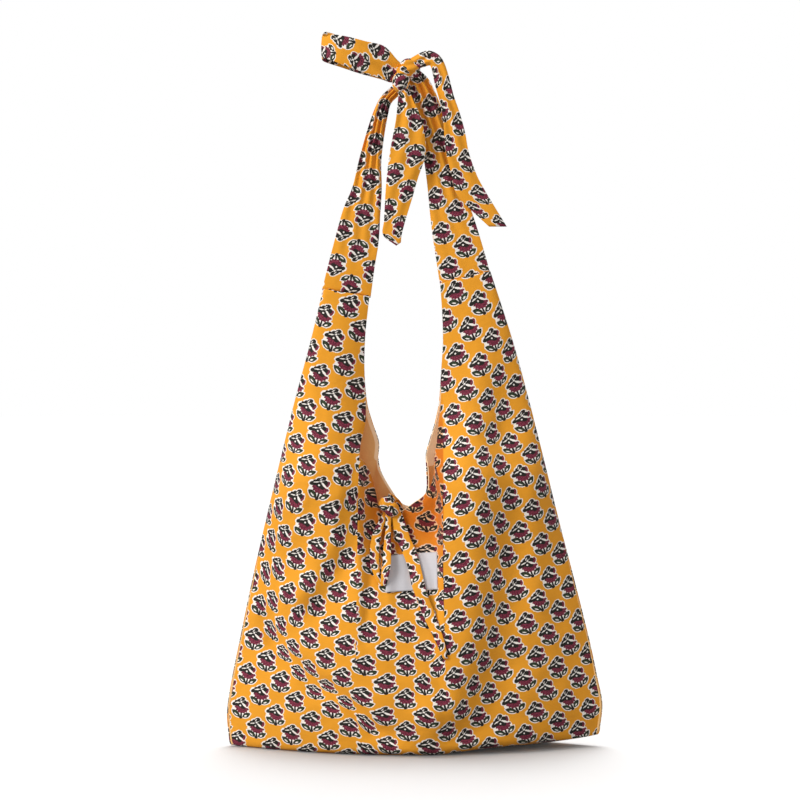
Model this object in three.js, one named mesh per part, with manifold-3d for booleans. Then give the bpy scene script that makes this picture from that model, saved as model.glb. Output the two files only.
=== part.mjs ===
// Slouchy shoulder tote bag in printed cotton, standing with its long straps tied up in a bow.
// Millimetres, +Z up. The bag's front faces -Y, and the origin is the middle of its base.
// Every cloth piece is a thin solid sheet: a grid of points, given a thickness along its normals.

import * as THREE from "three";
import { mergeVertices } from "three/addons/utils/BufferGeometryUtils.js";
import Module from "manifold-3d";

const wasm = await Module();
wasm.setup();

// Driving sizes
const CLOTH = 1.2;
const LINING = 1.0;
const LINING_GAP = 0.4;
const SEAM_GAP = 0.3;
const KNOT_GAP = 0.35;
const FORK_LEVEL = 309;
const BASE_RADIUS = 9;
const CORNER_INSET = 3;
const LABEL_THICK = 0.8;
const LABEL_STANDOFF = 2;
const TIE_FRONT_Y = -12;

// The bag's outline and belly: its edges, the depth of each side at a height, and how the
// section closes to the side seams, from rounded under 1 to pointed over 1
const BODY = [
  { z: 0, left: -198, right: 197, front: 63, back: 62, close: 1.1 },
  { z: 33, left: -201, right: 200.5, front: 66, back: 66, close: 1.08 },
  { z: 65, left: -197, right: 195.5, front: 66, back: 65, close: 1.04 },
  { z: 113, left: -187.5, right: 186.5, front: 63, back: 60, close: 1 },
  { z: 178, left: -174, right: 170.5, front: 55, back: 51, close: 0.95 },
  { z: 242, left: -159.5, right: 154, front: 46, back: 42, close: 0.85 },
  { z: 309, left: -143.5, right: 137.5, front: 36, back: 32, close: 0.75 },
  { z: 370, left: -128.5, right: 122, front: 30, back: 26, close: 0.7 },
  { z: 434, left: -111.5, right: 104.5, front: 20, back: 18, close: 0.7 },
  { z: 510, left: -93.5, right: 80, front: 10, back: 10, close: 0.7 },
];

// How full the wings are between their two edges, and how square their outer edge is
const WING = [
  { z: 190, swell: 10, square: 2.5 },
  { z: 309, swell: 14, square: 4 },
  { z: 370, swell: 11, square: 8 },
  { z: 434, swell: 6, square: 12 },
  { z: 510, swell: 0.6, square: 16 },
];

// Inner edge of each wing. Below the fork it is the fold where the wing meets the sunk middle.
const FRONT_FORK = [
  { z: 0, left: -62, right: 33, depth: 60 },
  { z: 100, left: -62, right: 31, depth: 57 },
  { z: 200, left: -61, right: 29, depth: 47 },
  { z: 242, left: -60.5, right: 29, depth: 42 },
  { z: 275, left: -60, right: 28, depth: 38 },
  { z: 295, left: -59.5, right: 23, depth: 33 },
  { z: 309, left: -59, right: 20.5, depth: 25 },
  { z: 325, left: -57.5, right: 23, depth: 15 },
  { z: 345, left: -53, right: 25, depth: 8.5 },
  { z: 366, left: -52.5, right: 27.5, depth: 5.2 },
  { z: 400, left: -54, right: 28, depth: 4.3 },
  { z: 434, left: -53.5, right: 30, depth: 4.3 },
  { z: 466, left: -50.5, right: 29, depth: 4.3 },
  { z: 495, left: -47, right: 27, depth: 4.3 },
];
const BACK_FORK = [
  { z: 0, left: -60, right: 33, depth: 58 },
  { z: 100, left: -60, right: 31, depth: 54 },
  { z: 200, left: -56, right: 27, depth: 41 },
  { z: 242, left: -52, right: 24, depth: 32 },
  { z: 275, left: -46, right: 17, depth: 21 },
  { z: 309, left: -39.5, right: 11.5, depth: 9 },
  { z: 325, left: -38.5, right: 15, depth: 7 },
  { z: 345, left: -45, right: 21, depth: 5.6 },
  { z: 366, left: -51, right: 25.5, depth: 4.8 },
  { z: 400, left: -54, right: 28, depth: 4.3 },
  { z: 434, left: -53.5, right: 30, depth: 4.3 },
  { z: 466, left: -50.5, right: 29, depth: 4.3 },
  { z: 495, left: -47, right: 27, depth: 4.3 },
];

// The mouth's curved edge between the two forks, from left to right
const FRONT_MOUTH = [
  { u: 0, x: -59, z: 309 },
  { u: 0.1, x: -52, z: 302 },
  { u: 0.2, x: -45.5, z: 287 },
  { u: 0.3, x: -41.5, z: 271 },
  { u: 0.4, x: -38, z: 256 },
  { u: 0.5, x: -29, z: 247 },
  { u: 0.6, x: -15, z: 251 },
  { u: 0.7, x: -2, z: 260 },
  { u: 0.8, x: 9, z: 268 },
  { u: 0.9, x: 18.5, z: 284 },
  { u: 1, x: 20.5, z: 309 },
];
const BACK_MOUTH = [
  { u: 0, x: -39.5, z: 309 },
  { u: 0.2, x: -36, z: 293 },
  { u: 0.4, x: -24, z: 272 },
  { u: 0.55, x: -13, z: 258 },
  { u: 0.7, x: -1, z: 257 },
  { u: 0.85, x: 12, z: 272 },
  { u: 1, x: 11.5, z: 309 },
];

// How far the middle is drawn in behind the wings by the tie, by row height
const FRONT_SINK = [
  { z: 80, sink: 0 },
  { z: 113, sink: 1.5 },
  { z: 150, sink: 4 },
  { z: 200, sink: 9 },
  { z: 242, sink: 18 },
  { z: 270, sink: 20 },
  { z: 290, sink: 18 },
  { z: 309, sink: 13 },
];
const BACK_SINK = [
  { z: 80, sink: 0 },
  { z: 150, sink: 2 },
  { z: 200, sink: 4 },
  { z: 242, sink: 5 },
  { z: 309, sink: 3 },
];

// Soft troughs and ridges, along paths of x and z. A negative depth is a ridge.
const FRONT_CREASES = [
  {
    depth: 8,
    width: 12,
    path: [[-161, 134], [-149, 113], [-134, 98], [-105, 71], [-90, 64], [-68, 50], [-42, 27], [-26, 15]],
  },
  { depth: -3, width: 15, path: [[122, 286], [128, 161]] },
];
const BACK_CREASES = [
  { depth: 6, width: 18, path: [[-95, 330], [-88, 220], [-100, 120]] },
  { depth: 6, width: 18, path: [[78, 340], [70, 230], [96, 110], [130, 60]] },
  { depth: 4, width: 16, path: [[-150, 110], [-90, 70], [-30, 50]] },
];

// Folds where the cloth steps down to the left of a path's way, by twice the drop, and eases back
const FRONT_FOLDS = [
  {
    drop: 6.5,
    width: 22,
    path: [[98, 428], [86, 371], [78, 327], [82, 268], [82, 210], [79, 167], [69, 94], [55, 48], [41, 32]],
  },
  { drop: 5, width: 14, path: [[-66, 265], [-73, 224], [-86, 198], [-101, 174], [-117, 153]] },
];
const BACK_FOLDS = [
  { drop: 4, width: 18, path: [[-60, 330], [-64, 230], [-90, 150], [-130, 100]] },
];

// The strap seams: height of each wing's top at its outer and inner edge
const LEFT_SEAM = { outer: 489, inner: 480.5 };
const RIGHT_SEAM = { outer: 508, inner: 495 };

// The base's corners curl up off the floor, and so does the front's lower edge on the right
const CURL = { leftStart: -110, leftRise: 1, rightStart: 60, rightRise: 12.5, fade: 140 };
const FRONT_LIFT = { rise: 6, start: 12, full: 90, fade: 120 };

// The two sides. Slant says how much of the sink the middle takes at its left and right.
const FRONT = {
  side: -1,
  belly: "front",
  fork: FRONT_FORK,
  mouth: FRONT_MOUTH,
  sink: FRONT_SINK,
  slant: [0.8, 1.25],
  creases: FRONT_CREASES,
  folds: FRONT_FOLDS,
  lift: FRONT_LIFT.rise,
};
const BACK = {
  side: 1,
  belly: "back",
  fork: BACK_FORK,
  mouth: BACK_MOUTH,
  sink: BACK_SINK,
  slant: [1, 1],
  creases: BACK_CREASES,
  folds: BACK_FOLDS,
  lift: 0,
};

// Grid lines of the panels: across a wing from the side seam, across the middle, and up
const WING_COLUMNS = [0, 0.05, 0.13, 0.27, 0.43, 0.6, 0.77, 0.91, 1];
const FRONT_MIDDLE = [0, 0.05, 0.12, 0.2, 0.33, 0.5, 0.67, 0.8, 0.88, 0.95, 1];
const BACK_MIDDLE = [0, 0.12, 0.25, 0.42, 0.58, 0.75, 0.88, 1];
const FLOOR_ROWS = [0, 0.55, 1];
const CURVE_ROWS = [1.4, 1.75];
const WALL_ROWS = 12;
const WING_ROWS = 8;

// Bands of the tied straps, by their two edges from the seam to the knot
const STRAP_LEFT = [
  { ax: -99, az: 489.5, bx: -48, bz: 481, y: 0, thick: 5 },
  { ax: -91, az: 522, bx: -43, bz: 513, y: 0, thick: 4.5 },
  { ax: -85, az: 545, bx: -39, bz: 538, y: 1, thick: 4 },
  { ax: -77, az: 574, bx: -37, bz: 570, y: 2, thick: 4 },
  { ax: -67, az: 598, bx: -35.5, bz: 597, y: 3, thick: 4.5 },
  { ax: -60, az: 627, bx: -36, bz: 626, y: 4, thick: 5 },
  { ax: -51.5, az: 658, bx: -32.5, bz: 656, y: 4, thick: 6 },
  { ax: -43.5, az: 682, bx: -28.5, bz: 677, y: 4, thick: 7 },
  { ax: -36, az: 696, bx: -25, bz: 688, y: 3, thick: 7.5 },
  { ax: -25, az: 706, bx: -16, bz: 697, y: 2, thick: 7.5 },
];
const STRAP_RIGHT = [
  { ax: 27, az: 495.5, bx: 80, bz: 508.5, y: 0, thick: 5 },
  { ax: 23.5, az: 515, bx: 75, bz: 526, y: 0, thick: 4.5 },
  { ax: 19, az: 545, bx: 66, bz: 556, y: 1, thick: 4 },
  { ax: 16, az: 571, bx: 57.5, bz: 582, y: 2, thick: 4 },
  { ax: 13, az: 602, bx: 49, bz: 612, y: 3, thick: 4.5 },
  { ax: 9, az: 630, bx: 41, bz: 640, y: 4, thick: 5 },
  { ax: 2.5, az: 657, bx: 33, bz: 668, y: 4, thick: 6 },
  { ax: -4, az: 682, bx: 25, bz: 692, y: 4, thick: 6.5 },
  { ax: -8, az: 701, bx: 15, bz: 713, y: 4, thick: 7 },
  { ax: -12, az: 712, bx: 3, bz: 725, y: 3, thick: 7 },
];
const TAIL_FRONT = [
  { ax: -17, az: 706, bx: -8, bz: 706, y: -6, thick: 6 },
  { ax: -18, az: 692, bx: -3, bz: 692, y: -8, thick: 5 },
  { ax: -20.5, az: 668, bx: 6.5, bz: 670, y: -9, thick: 3.5 },
  { ax: -25.5, az: 642, bx: 11.5, bz: 644, y: -9, thick: 3 },
  { ax: -28, az: 626, bx: 10.5, bz: 628, y: -8.5, thick: 3 },
  { ax: -30.5, az: 604, bx: 3, bz: 606, y: -8, thick: 3 },
  { ax: -32, az: 583, bx: -3, bz: 585, y: -7.5, thick: 3 },
  { ax: -33, az: 562, bx: -9.5, bz: 564, y: -7, thick: 3 },
  { ax: -34, az: 546, bx: -14, bz: 547, y: -7, thick: 3 },
  { ax: -20, az: 534.5, bx: -15, bz: 538, y: -7, thick: 2.6 },
];
const TAIL_RIGHT = [
  { ax: -5, az: 735, bx: 0, bz: 723, y: -3, thick: 6 },
  { ax: 6, az: 741, bx: 9, bz: 725.5, y: -5, thick: 5.5 },
  { ax: 15, az: 743, bx: 15, bz: 727, y: -6.5, thick: 5 },
  { ax: 25, az: 738.5, bx: 17, bz: 725, y: -7.5, thick: 4.5 },
  { ax: 31, az: 730, bx: 19, bz: 717, y: -8, thick: 4 },
  { ax: 36, az: 715, bx: 21.5, bz: 705, y: -8, thick: 4 },
  { ax: 41.5, az: 694, bx: 26.5, bz: 687.5, y: -8, thick: 4 },
  { ax: 48, az: 675, bx: 30, bz: 668, y: -7.5, thick: 4 },
  { ax: 53.5, az: 655, bx: 31.5, bz: 649, y: -7, thick: 3.6 },
  { ax: 57.5, az: 634, bx: 34, bz: 630, y: -6.5, thick: 3.3 },
  { ax: 66, az: 610, bx: 39.5, bz: 609, y: -6, thick: 3 },
  { ax: 74.5, az: 594, bx: 43.5, bz: 591.5, y: -6, thick: 3 },
  { ax: 84, az: 578, bx: 55.5, bz: 577, y: -6, thick: 3 },
  { ax: 98, az: 555, bx: 79, bz: 555, y: -6, thick: 3 },
];

// The bow's loop, from the knot out along its front layer, round its end and back behind
const BOW_LOOP = [
  { ax: -14, ay: -3, az: 729, bx: -18, by: -3, bz: 716, thick: 4 },
  { ax: -20, ay: -5, az: 734, bx: -25, by: -5, bz: 710.5, thick: 3.4 },
  { ax: -33, ay: -8, az: 747, bx: -39.5, by: -9, bz: 713.5, thick: 3 },
  { ax: -52.5, ay: -10, az: 752, bx: -59, by: -12, bz: 720, thick: 3 },
  { ax: -71.5, ay: -10, az: 757, bx: -75, by: -13, bz: 725.5, thick: 3 },
  { ax: -86.5, ay: -6, az: 760, bx: -85, by: -12, bz: 730, thick: 3 },
  { ax: -96, ay: 0, az: 759, bx: -94, by: -6, bz: 734, thick: 3 },
  { ax: -99, ay: 6, az: 762, bx: -99, by: 0, bz: 735, thick: 3 },
  { ax: -94, ay: 11, az: 766, bx: -97, by: 7, bz: 733, thick: 3 },
  { ax: -75, ay: 13, az: 759, bx: -80, by: 11, bz: 728, thick: 3 },
  { ax: -52.5, ay: 12, az: 750, bx: -59, by: 10, bz: 721, thick: 3 },
  { ax: -32, ay: 9, az: 742.5, bx: -37.5, by: 8, bz: 715, thick: 3 },
  { ax: -20.5, ay: 6, az: 732, bx: -25, by: 6, bz: 711, thick: 3 },
  { ax: -13, ay: 4, az: 728, bx: -17, by: 4, bz: 717, thick: 3 },
];

// Mouth tie: strands lie a little above the front panel, by the height in column above
const TIE_LOOP = [
  { ax: -31, az: 253, bx: -26, bz: 253, above: 6, thick: 2 },
  { ax: -31.5, az: 247, bx: -25, bz: 247, above: 6, thick: 2 },
  { ax: -31.5, az: 233, bx: -25.5, bz: 233, above: 5.5, thick: 1.8 },
  { ax: -33.5, az: 214, bx: -25.5, bz: 214, above: 5.2, thick: 1.8 },
  { ax: -35, az: 195, bx: -25.5, bz: 198, above: 5, thick: 1.8 },
  { ax: -36, az: 183, bx: -28, bz: 185, above: 4.5, thick: 1.8 },
  { ax: -36.5, az: 176, bx: -30.5, bz: 177, above: 3.2, thick: 1.8 },
  { ax: -41, az: 182, bx: -34, bz: 178, above: 1.9, thick: 1.8 },
  { ax: -46.5, az: 195, bx: -37, bz: 191, above: 1.8, thick: 1.8 },
  { ax: -48, az: 208, bx: -38, bz: 206.5, above: 1.8, thick: 1.8 },
  { ax: -46.5, az: 222, bx: -37, bz: 221, above: 1.9, thick: 1.8 },
  { ax: -43.5, az: 233, bx: -35, bz: 231, above: 2, thick: 1.8 },
  { ax: -37, az: 244, bx: -31.5, bz: 241, above: 2.4, thick: 2 },
  { ax: -33, az: 252, bx: -28, bz: 248, above: 3, thick: 2 },
];
const TIE_END = [
  { ax: -26, az: 257, bx: -20, bz: 258, above: 7, thick: 2.4 },
  { ax: -24.5, az: 246, bx: -13.5, bz: 248, above: 5, thick: 2.2 },
  { ax: -23, az: 233, bx: -9, bz: 236, above: 3, thick: 2 },
  { ax: -18.5, az: 220, bx: -5, bz: 223.5, above: 3.4, thick: 2 },
  { ax: -12, az: 205.5, bx: 2, bz: 208.5, above: 4.2, thick: 2 },
  { ax: -7, az: 191, bx: 6, bz: 194, above: 4.4, thick: 2 },
  { ax: -3.5, az: 175, bx: 9.5, bz: 179, above: 4.2, thick: 2 },
  { ax: 3, az: 159, bx: 14, bz: 163, above: 3, thick: 2 },
  { ax: 8.5, az: 144, bx: 20, bz: 148.5, above: 1.8, thick: 2 },
  { ax: 15.5, az: 130.5, bx: 25, bz: 134.5, above: 1.8, thick: 2 },
  { ax: 22, az: 117, bx: 30, bz: 120, above: 1.8, thick: 2 },
  { ax: 29.5, az: 101, bx: 33.5, bz: 102.5, above: 1.8, thick: 1.8 },
];
const TIE_BACK = [
  { ax: -21, ay: 2.2, az: 251, bx: -12, by: 2.2, bz: 245, thick: 1.5 },
  { ax: -23, ay: 1.8, az: 261, bx: -13, by: 1.8, bz: 255, thick: 1.5 },
  { ax: -25, ay: -2, az: 269, bx: -16, by: -2, bz: 262, thick: 1.5 },
  { ax: -28, ay: -9, az: 270, bx: -21, by: -9, bz: 263, thick: 1.6 },
  { ax: -31, ay: -17, az: 262, bx: -26, by: -17, bz: 257, thick: 1.8 },
];

// Knots: rounded lobes that run into each other
const STRAP_KNOT = [
  { x: -15, y: -5, z: 709.5, rx: 9.5, ry: 9.5, rz: 11.5 },
  { x: -6, y: 0, z: 725, rx: 11.5, ry: 9.5, rz: 10 },
];
const TIE_KNOT = [
  { x: -30.5, y: -21, z: 259.5, rx: 8, ry: 6, rz: 8.5 },
  { x: -25, y: -21, z: 254.5, rx: 8, ry: 6, rz: 8 },
];

// The bare woven label, by its corners as x and z
const LABEL = {
  topLeft: [-26, 206],
  topRight: [22.5, 210],
  bottomRight: [23, 172],
  bottomLeft: [-31.5, 169],
};
const LABEL_COLUMNS = 9;
const LABEL_ROWS = 5;

const mix = (a, b, t) => a + (b - a) * t;
const steps = (count) => Array.from({ length: count + 1 }, (_, i) => i / count);

function ease(from, to, at) {
  const t = Math.min(Math.max((at - from) / (to - from), 0), 1);
  return t * t * (3 - 2 * t);
}

// A smooth curve through one column of a table, held level past its ends
function curve(table, key, by = "z") {
  const last = table.length - 1;
  const slope = table.map((_, i) => {
    const a = table[Math.max(i - 1, 0)];
    const b = table[Math.min(i + 1, last)];
    return (b[key] - a[key]) / (b[by] - a[by]);
  });
  return (at) => {
    if (at <= table[0][by]) return table[0][key];
    if (at >= table[last][by]) return table[last][key];
    const i = table.findIndex((row) => row[by] >= at) - 1;
    const gap = table[i + 1][by] - table[i][by];
    const t = (at - table[i][by]) / gap;
    const rise = table[i + 1][key] - table[i][key];
    const bend = t * (1 - t) * ((slope[i] * gap - rise) * (1 - t) - (slope[i + 1] * gap - rise) * t);
    return table[i][key] + rise * t + bend;
  };
}

const bodyLeft = curve(BODY, "left");
const bodyRight = curve(BODY, "right");
const bodyClose = curve(BODY, "close");
const wingSwell = curve(WING, "swell");
const wingSquare = curve(WING, "square");

for (const panel of [FRONT, BACK]) {
  panel.reach = curve(BODY, panel.belly);
  panel.innerLeft = curve(panel.fork, "left");
  panel.innerRight = curve(panel.fork, "right");
  panel.innerDepth = curve(panel.fork, "depth");
  panel.mouthX = curve(panel.mouth, "x", "u");
  panel.mouthZ = curve(panel.mouth, "z", "u");
  panel.sunk = curve(panel.sink, "sink");
}

// Where a point lies beside a path of x and z: how far from it, its offset to the left of the
// path's way, and how far it is past either end
function besidePath(path, x, z) {
  let nearest = { far: Infinity };
  for (let i = 0; i + 1 < path.length; i += 1) {
    const [ax, az] = path[i];
    const [bx, bz] = path[i + 1];
    const length = Math.hypot(bx - ax, bz - az);
    const along = ((x - ax) * (bx - ax) + (z - az) * (bz - az)) / length;
    const beside = ((bx - ax) * (z - az) - (bz - az) * (x - ax)) / length;
    const past = along - Math.min(Math.max(along, 0), length);
    const far = Math.hypot(beside, past);
    if (far >= nearest.far) continue;
    const outside = (i === 0 && past < 0) || (i + 2 === path.length && past > 0);
    nearest = { far, off: outside ? beside : Math.sign(beside) * far, past: outside ? past : 0 };
  }
  return nearest;
}

// How far the folds move the cloth back: troughs are bells of the distance to their path, and
// a step is a ridge on one side of its path that swings into a trough on the other
function foldedBack(panel, x, z) {
  let depth = 0;
  for (const crease of panel.creases) {
    depth += crease.depth * Math.exp(-((besidePath(crease.path, x, z).far / crease.width) ** 2));
  }
  for (const fold of panel.folds) {
    const spot = besidePath(fold.path, x, z);
    const off = spot.off / fold.width;
    depth += fold.drop * off * Math.exp((1 - off ** 2) / 2 - (spot.past / fold.width) ** 2);
  }
  return depth;
}

// Lens shape of the full bag: deepest in the middle, closed at both side seams
function lensDepth(panel, x, z) {
  const middle = (bodyLeft(z) + bodyRight(z)) / 2;
  const half = (bodyRight(z) - bodyLeft(z)) / 2;
  const off = Math.min(Math.abs(x - middle) / half, 1);
  return panel.reach(z) * (1 - off ** 2) ** bodyClose(z);
}

// Depth across a wing, t from its outer edge at 0 to its inner edge at 1
function wingDepth(panel, t, x, z) {
  const rise = Math.sqrt(1 - (1 - t) ** wingSquare(z));
  const wing = panel.innerDepth(z) * rise + wingSwell(z) * 4 * t * (1 - t);
  return mix(lensDepth(panel, x, z), wing, ease(190, FORK_LEVEL, z));
}

// How far the base is off the floor. Share runs from 0 at its middle line to 1 at its edge.
function floorCurl(panel, x, share) {
  const left = Math.max((x - CURL.leftStart) / (BODY[0].left - CURL.leftStart), 0);
  const right = Math.max((x - CURL.rightStart) / (BODY[0].right - CURL.rightStart), 0);
  const { start, full, fade } = FRONT_LIFT;
  const lifted = ease(start, full, x) * (1 - ease(fade, BODY[0].right, x)) * share ** 2;
  return CURL.leftRise * left ** 2 + CURL.rightRise * right ** 2 + panel.lift * lifted;
}

// A point of a panel's outer face, with its depth still positive and its folds not yet laid
function wingPoint(panel, left, t, up) {
  const seam = left ? LEFT_SEAM : RIGHT_SEAM;
  const climb = Math.max(up - 3, 0);
  const level = mix(BASE_RADIUS, FORK_LEVEL, Math.min(up - 2, 1));
  const outerZ = mix(level, seam.outer, climb);
  const innerZ = mix(level, seam.inner, climb);
  const outerX = left ? bodyLeft(outerZ) : bodyRight(outerZ);
  const innerX = left ? panel.innerLeft(innerZ) : panel.innerRight(innerZ);
  const x = mix(outerX, innerX, t);
  const z = mix(outerZ, innerZ, t);
  return { x, depth: wingDepth(panel, t, x, z), z };
}

function middlePoint(panel, u, up) {
  const level = mix(BASE_RADIUS, FORK_LEVEL, up - 2);
  const leftX = panel.innerLeft(level);
  const rightX = panel.innerRight(level);
  const share = (level - BASE_RADIUS) / (FORK_LEVEL - BASE_RADIUS);
  const topX = mix(panel.innerLeft(FORK_LEVEL), panel.innerRight(FORK_LEVEL), u);
  const x = mix(leftX, rightX, u) + (panel.mouthX(u) - topX) * share ** 4;
  const z = level - (FORK_LEVEL - panel.mouthZ(u)) * share ** 2;
  const extraLeft = wingDepth(panel, 1, leftX, level) - lensDepth(panel, leftX, level);
  const extraRight = wingDepth(panel, 1, rightX, level) - lensDepth(panel, rightX, level);
  const drawn = panel.sunk(level) * mix(...panel.slant, u) * ease(0, 0.24, u) * ease(0, 0.24, 1 - u);
  return { x, depth: lensDepth(panel, x, level) + mix(extraLeft, extraRight, u) - drawn, z };
}

// One point of a panel. Up runs 0 to 1 along the floor, 1 to 2 round the bottom edge,
// 2 to 3 up the wall to the fork, and 3 to 4 up a wing to the strap seam.
function panelPoint(panel, block, across, up) {
  const turn = (Math.min(Math.max(2 - up, 0), 1) * Math.PI) / 2;
  const wall = Math.max(up, 2);
  const spot = block === "middle"
    ? middlePoint(panel, across, wall)
    : wingPoint(panel, block === "left", across, wall);
  let depth = spot.depth;
  depth -= foldedBack(panel, spot.x, spot.z) * ease(2, 24, depth) * ease(0, 30, spot.z);
  const inset = BASE_RADIUS * (1 - Math.cos(turn));
  const middle = (BODY[0].left + BODY[0].right) / 2;
  const half = (BODY[0].right - BODY[0].left) / 2;
  const x = middle + (spot.x - middle) * (1 - (inset / half) * (CORNER_INSET / BASE_RADIUS));
  depth *= (1 - inset / panel.reach(0)) * Math.min(up, 1);
  const drop = up < 2 ? BASE_RADIUS * Math.sin(turn) : 0;
  const curl = floorCurl(panel, x, Math.min(up, 1)) * (1 - ease(0, CURL.fade, spot.z - drop));
  const z = spot.z - drop + curl;
  return new THREE.Vector3(x, panel.side * Math.max(depth, SEAM_GAP / 2), z);
}

// The panel as three patches of points: left wing, middle under the mouth, right wing
function panelPatches(panel, middleColumns) {
  const low = [...FLOOR_ROWS, ...CURVE_ROWS, ...steps(WALL_ROWS).map((t) => 2 + t)];
  const high = steps(WING_ROWS).slice(1).map((t) => 3 + t);
  const patch = (block, columns, rows) =>
    rows.map((up) => columns.map((across) => panelPoint(panel, block, across, up)));
  return [
    patch("left", WING_COLUMNS, [...low, ...high]),
    patch("middle", middleColumns, low),
    patch("right", [...WING_COLUMNS].reverse(), [...low, ...high]),
  ];
}

// Joins patches of points into one face of triangles, leaving out the ones with no area
function weld(patches, flip = false) {
  const points = [];
  const triangles = [];
  const known = new Map();
  const indexOf = (point) => {
    const key = point.toArray().map((value) => Math.round(value * 500)).join();
    if (!known.has(key)) {
      known.set(key, points.length);
      points.push(point);
    }
    return known.get(key);
  };
  const add = (a, b, c) => {
    if (a === b || b === c || c === a) return;
    triangles.push(flip ? [a, c, b] : [a, b, c]);
  };
  for (const rows of patches) {
    const ids = rows.map((row) => row.map(indexOf));
    for (let r = 0; r + 1 < ids.length; r += 1) {
      for (let c = 0; c + 1 < ids[r].length; c += 1) {
        add(ids[r][c], ids[r][c + 1], ids[r + 1][c + 1]);
        add(ids[r][c], ids[r + 1][c + 1], ids[r + 1][c]);
      }
    }
  }
  return { points, triangles };
}

// Normals of a welded face. On the seam plane they lie in it, so that two panels meet squarely.
function faceNormals(face) {
  const normals = face.points.map(() => new THREE.Vector3());
  for (const [a, b, c] of face.triangles) {
    const ab = face.points[b].clone().sub(face.points[a]);
    const ac = face.points[c].clone().sub(face.points[a]);
    const area = ab.cross(ac);
    for (const i of [a, b, c]) normals[i].add(area);
  }
  normals.forEach((normal, i) => {
    if (face.seamed && Math.abs(face.points[i].y) < SEAM_GAP) normal.y = 0;
    normal.normalize();
  });
  return normals;
}

// A closed solid between two layers of a face, each a distance in from it
function sheetGeometry(face, outer, inner) {
  const normals = faceNormals(face);
  const count = face.points.length;
  const positions = [];
  for (const inset of [outer, inner]) {
    face.points.forEach((point, i) => {
      const depth = typeof inset === "function" ? inset(point) : inset;
      positions.push(...point.clone().addScaledVector(normals[i], -depth).toArray());
    });
  }
  const index = [];
  const edges = new Set(face.triangles.flatMap(([a, b, c]) => [`${a}_${b}`, `${b}_${c}`, `${c}_${a}`]));
  for (const [a, b, c] of face.triangles) {
    index.push(a, b, c);
    index.push(a + count, c + count, b + count);
    for (const [from, to] of [[a, b], [b, c], [c, a]]) {
      if (edges.has(`${to}_${from}`)) continue;
      index.push(to, from, from + count);
      index.push(to, from + count, to + count);
    }
  }
  const geometry = new THREE.BufferGeometry();
  geometry.setAttribute("position", new THREE.Float32BufferAttribute(positions, 3));
  geometry.setIndex(index);
  geometry.computeVertexNormals();
  return geometry;
}

// Front to back place of a face at x and z, or null past its edge
function faceY(face, x, z) {
  let nearest = null;
  for (const corners of face.triangles) {
    const [p, q, r] = corners.map((i) => face.points[i]);
    const area = (q.x - p.x) * (r.z - p.z) - (r.x - p.x) * (q.z - p.z);
    if (Math.abs(area) < 1e-9) continue;
    const s = ((x - p.x) * (r.z - p.z) - (r.x - p.x) * (z - p.z)) / area;
    const t = ((q.x - p.x) * (z - p.z) - (x - p.x) * (q.z - p.z)) / area;
    if (s < 0 || t < 0 || s + t > 1) continue;
    const y = p.y + s * (q.y - p.y) + t * (r.y - p.y);
    nearest = nearest === null ? y : Math.min(nearest, y);
  }
  return nearest;
}

// A flat band between its two edge curves, as thick as its table says
function ribbonGeometry(rows, along, across) {
  const table = rows.map((row, i) => ({
    at: i / (rows.length - 1),
    ax: row.ax, ay: row.ay ?? row.y, az: row.az,
    bx: row.bx, by: row.by ?? row.y, bz: row.bz,
    thick: row.thick,
  }));
  const track = Object.fromEntries(
    ["ax", "ay", "az", "bx", "by", "bz", "thick"].map((key) => [key, curve(table, key, "at")]),
  );
  const grid = steps(along).map((at) => steps(across).map((t) => {
    const point = new THREE.Vector3(
      mix(track.ax(at), track.bx(at), t),
      mix(track.ay(at), track.by(at), t),
      mix(track.az(at), track.bz(at), t),
    );
    point.half = (track.thick(at) / 2) * (1 - 0.6 * Math.abs(2 * t - 1) ** 4);
    return point;
  }));
  return sheetGeometry(weld([grid]), (point) => -point.half, (point) => point.half);
}

// Rows of a tie strand, laid on a face
function laidRows(face, rows) {
  return rows.map((row) => {
    const spots = [0, 0.5, 1].map((t) => faceY(face, mix(row.ax, row.bx, t), mix(row.az, row.bz, t)));
    const front = Math.min(...spots.filter((y) => y !== null), TIE_FRONT_Y);
    return { ...row, y: front - row.above };
  });
}

// A knot: the outer surface of overlapping rounded lobes, seen from the middle between them
function knotGeometry(lobes, grow) {
  const middle = new THREE.Vector3();
  for (const lobe of lobes) middle.add(new THREE.Vector3(lobe.x, lobe.y, lobe.z));
  middle.divideScalar(lobes.length);
  const geometry = new THREE.SphereGeometry(1, 20, 14);
  const place = geometry.attributes.position;
  for (let i = 0; i < place.count; i += 1) {
    const ray = new THREE.Vector3().fromBufferAttribute(place, i).normalize();
    const reach = Math.max(...lobes.map((lobe) => lobeReach(lobe, middle, ray)));
    ray.multiplyScalar(reach + grow).add(middle);
    place.setXYZ(i, ray.x, ray.y, ray.z);
  }
  return geometry;
}

// Distance from a middle inside a lobe to its surface, along a ray
function lobeReach(lobe, middle, ray) {
  const size = new THREE.Vector3(lobe.rx, lobe.ry, lobe.rz);
  const from = middle.clone().sub(new THREE.Vector3(lobe.x, lobe.y, lobe.z)).divide(size);
  const step = ray.clone().divide(size);
  const a = step.lengthSq();
  const b = from.dot(step);
  const c = from.lengthSq() - 1;
  return (-b + Math.sqrt(Math.max(b * b - a * c, 0))) / a;
}

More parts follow.
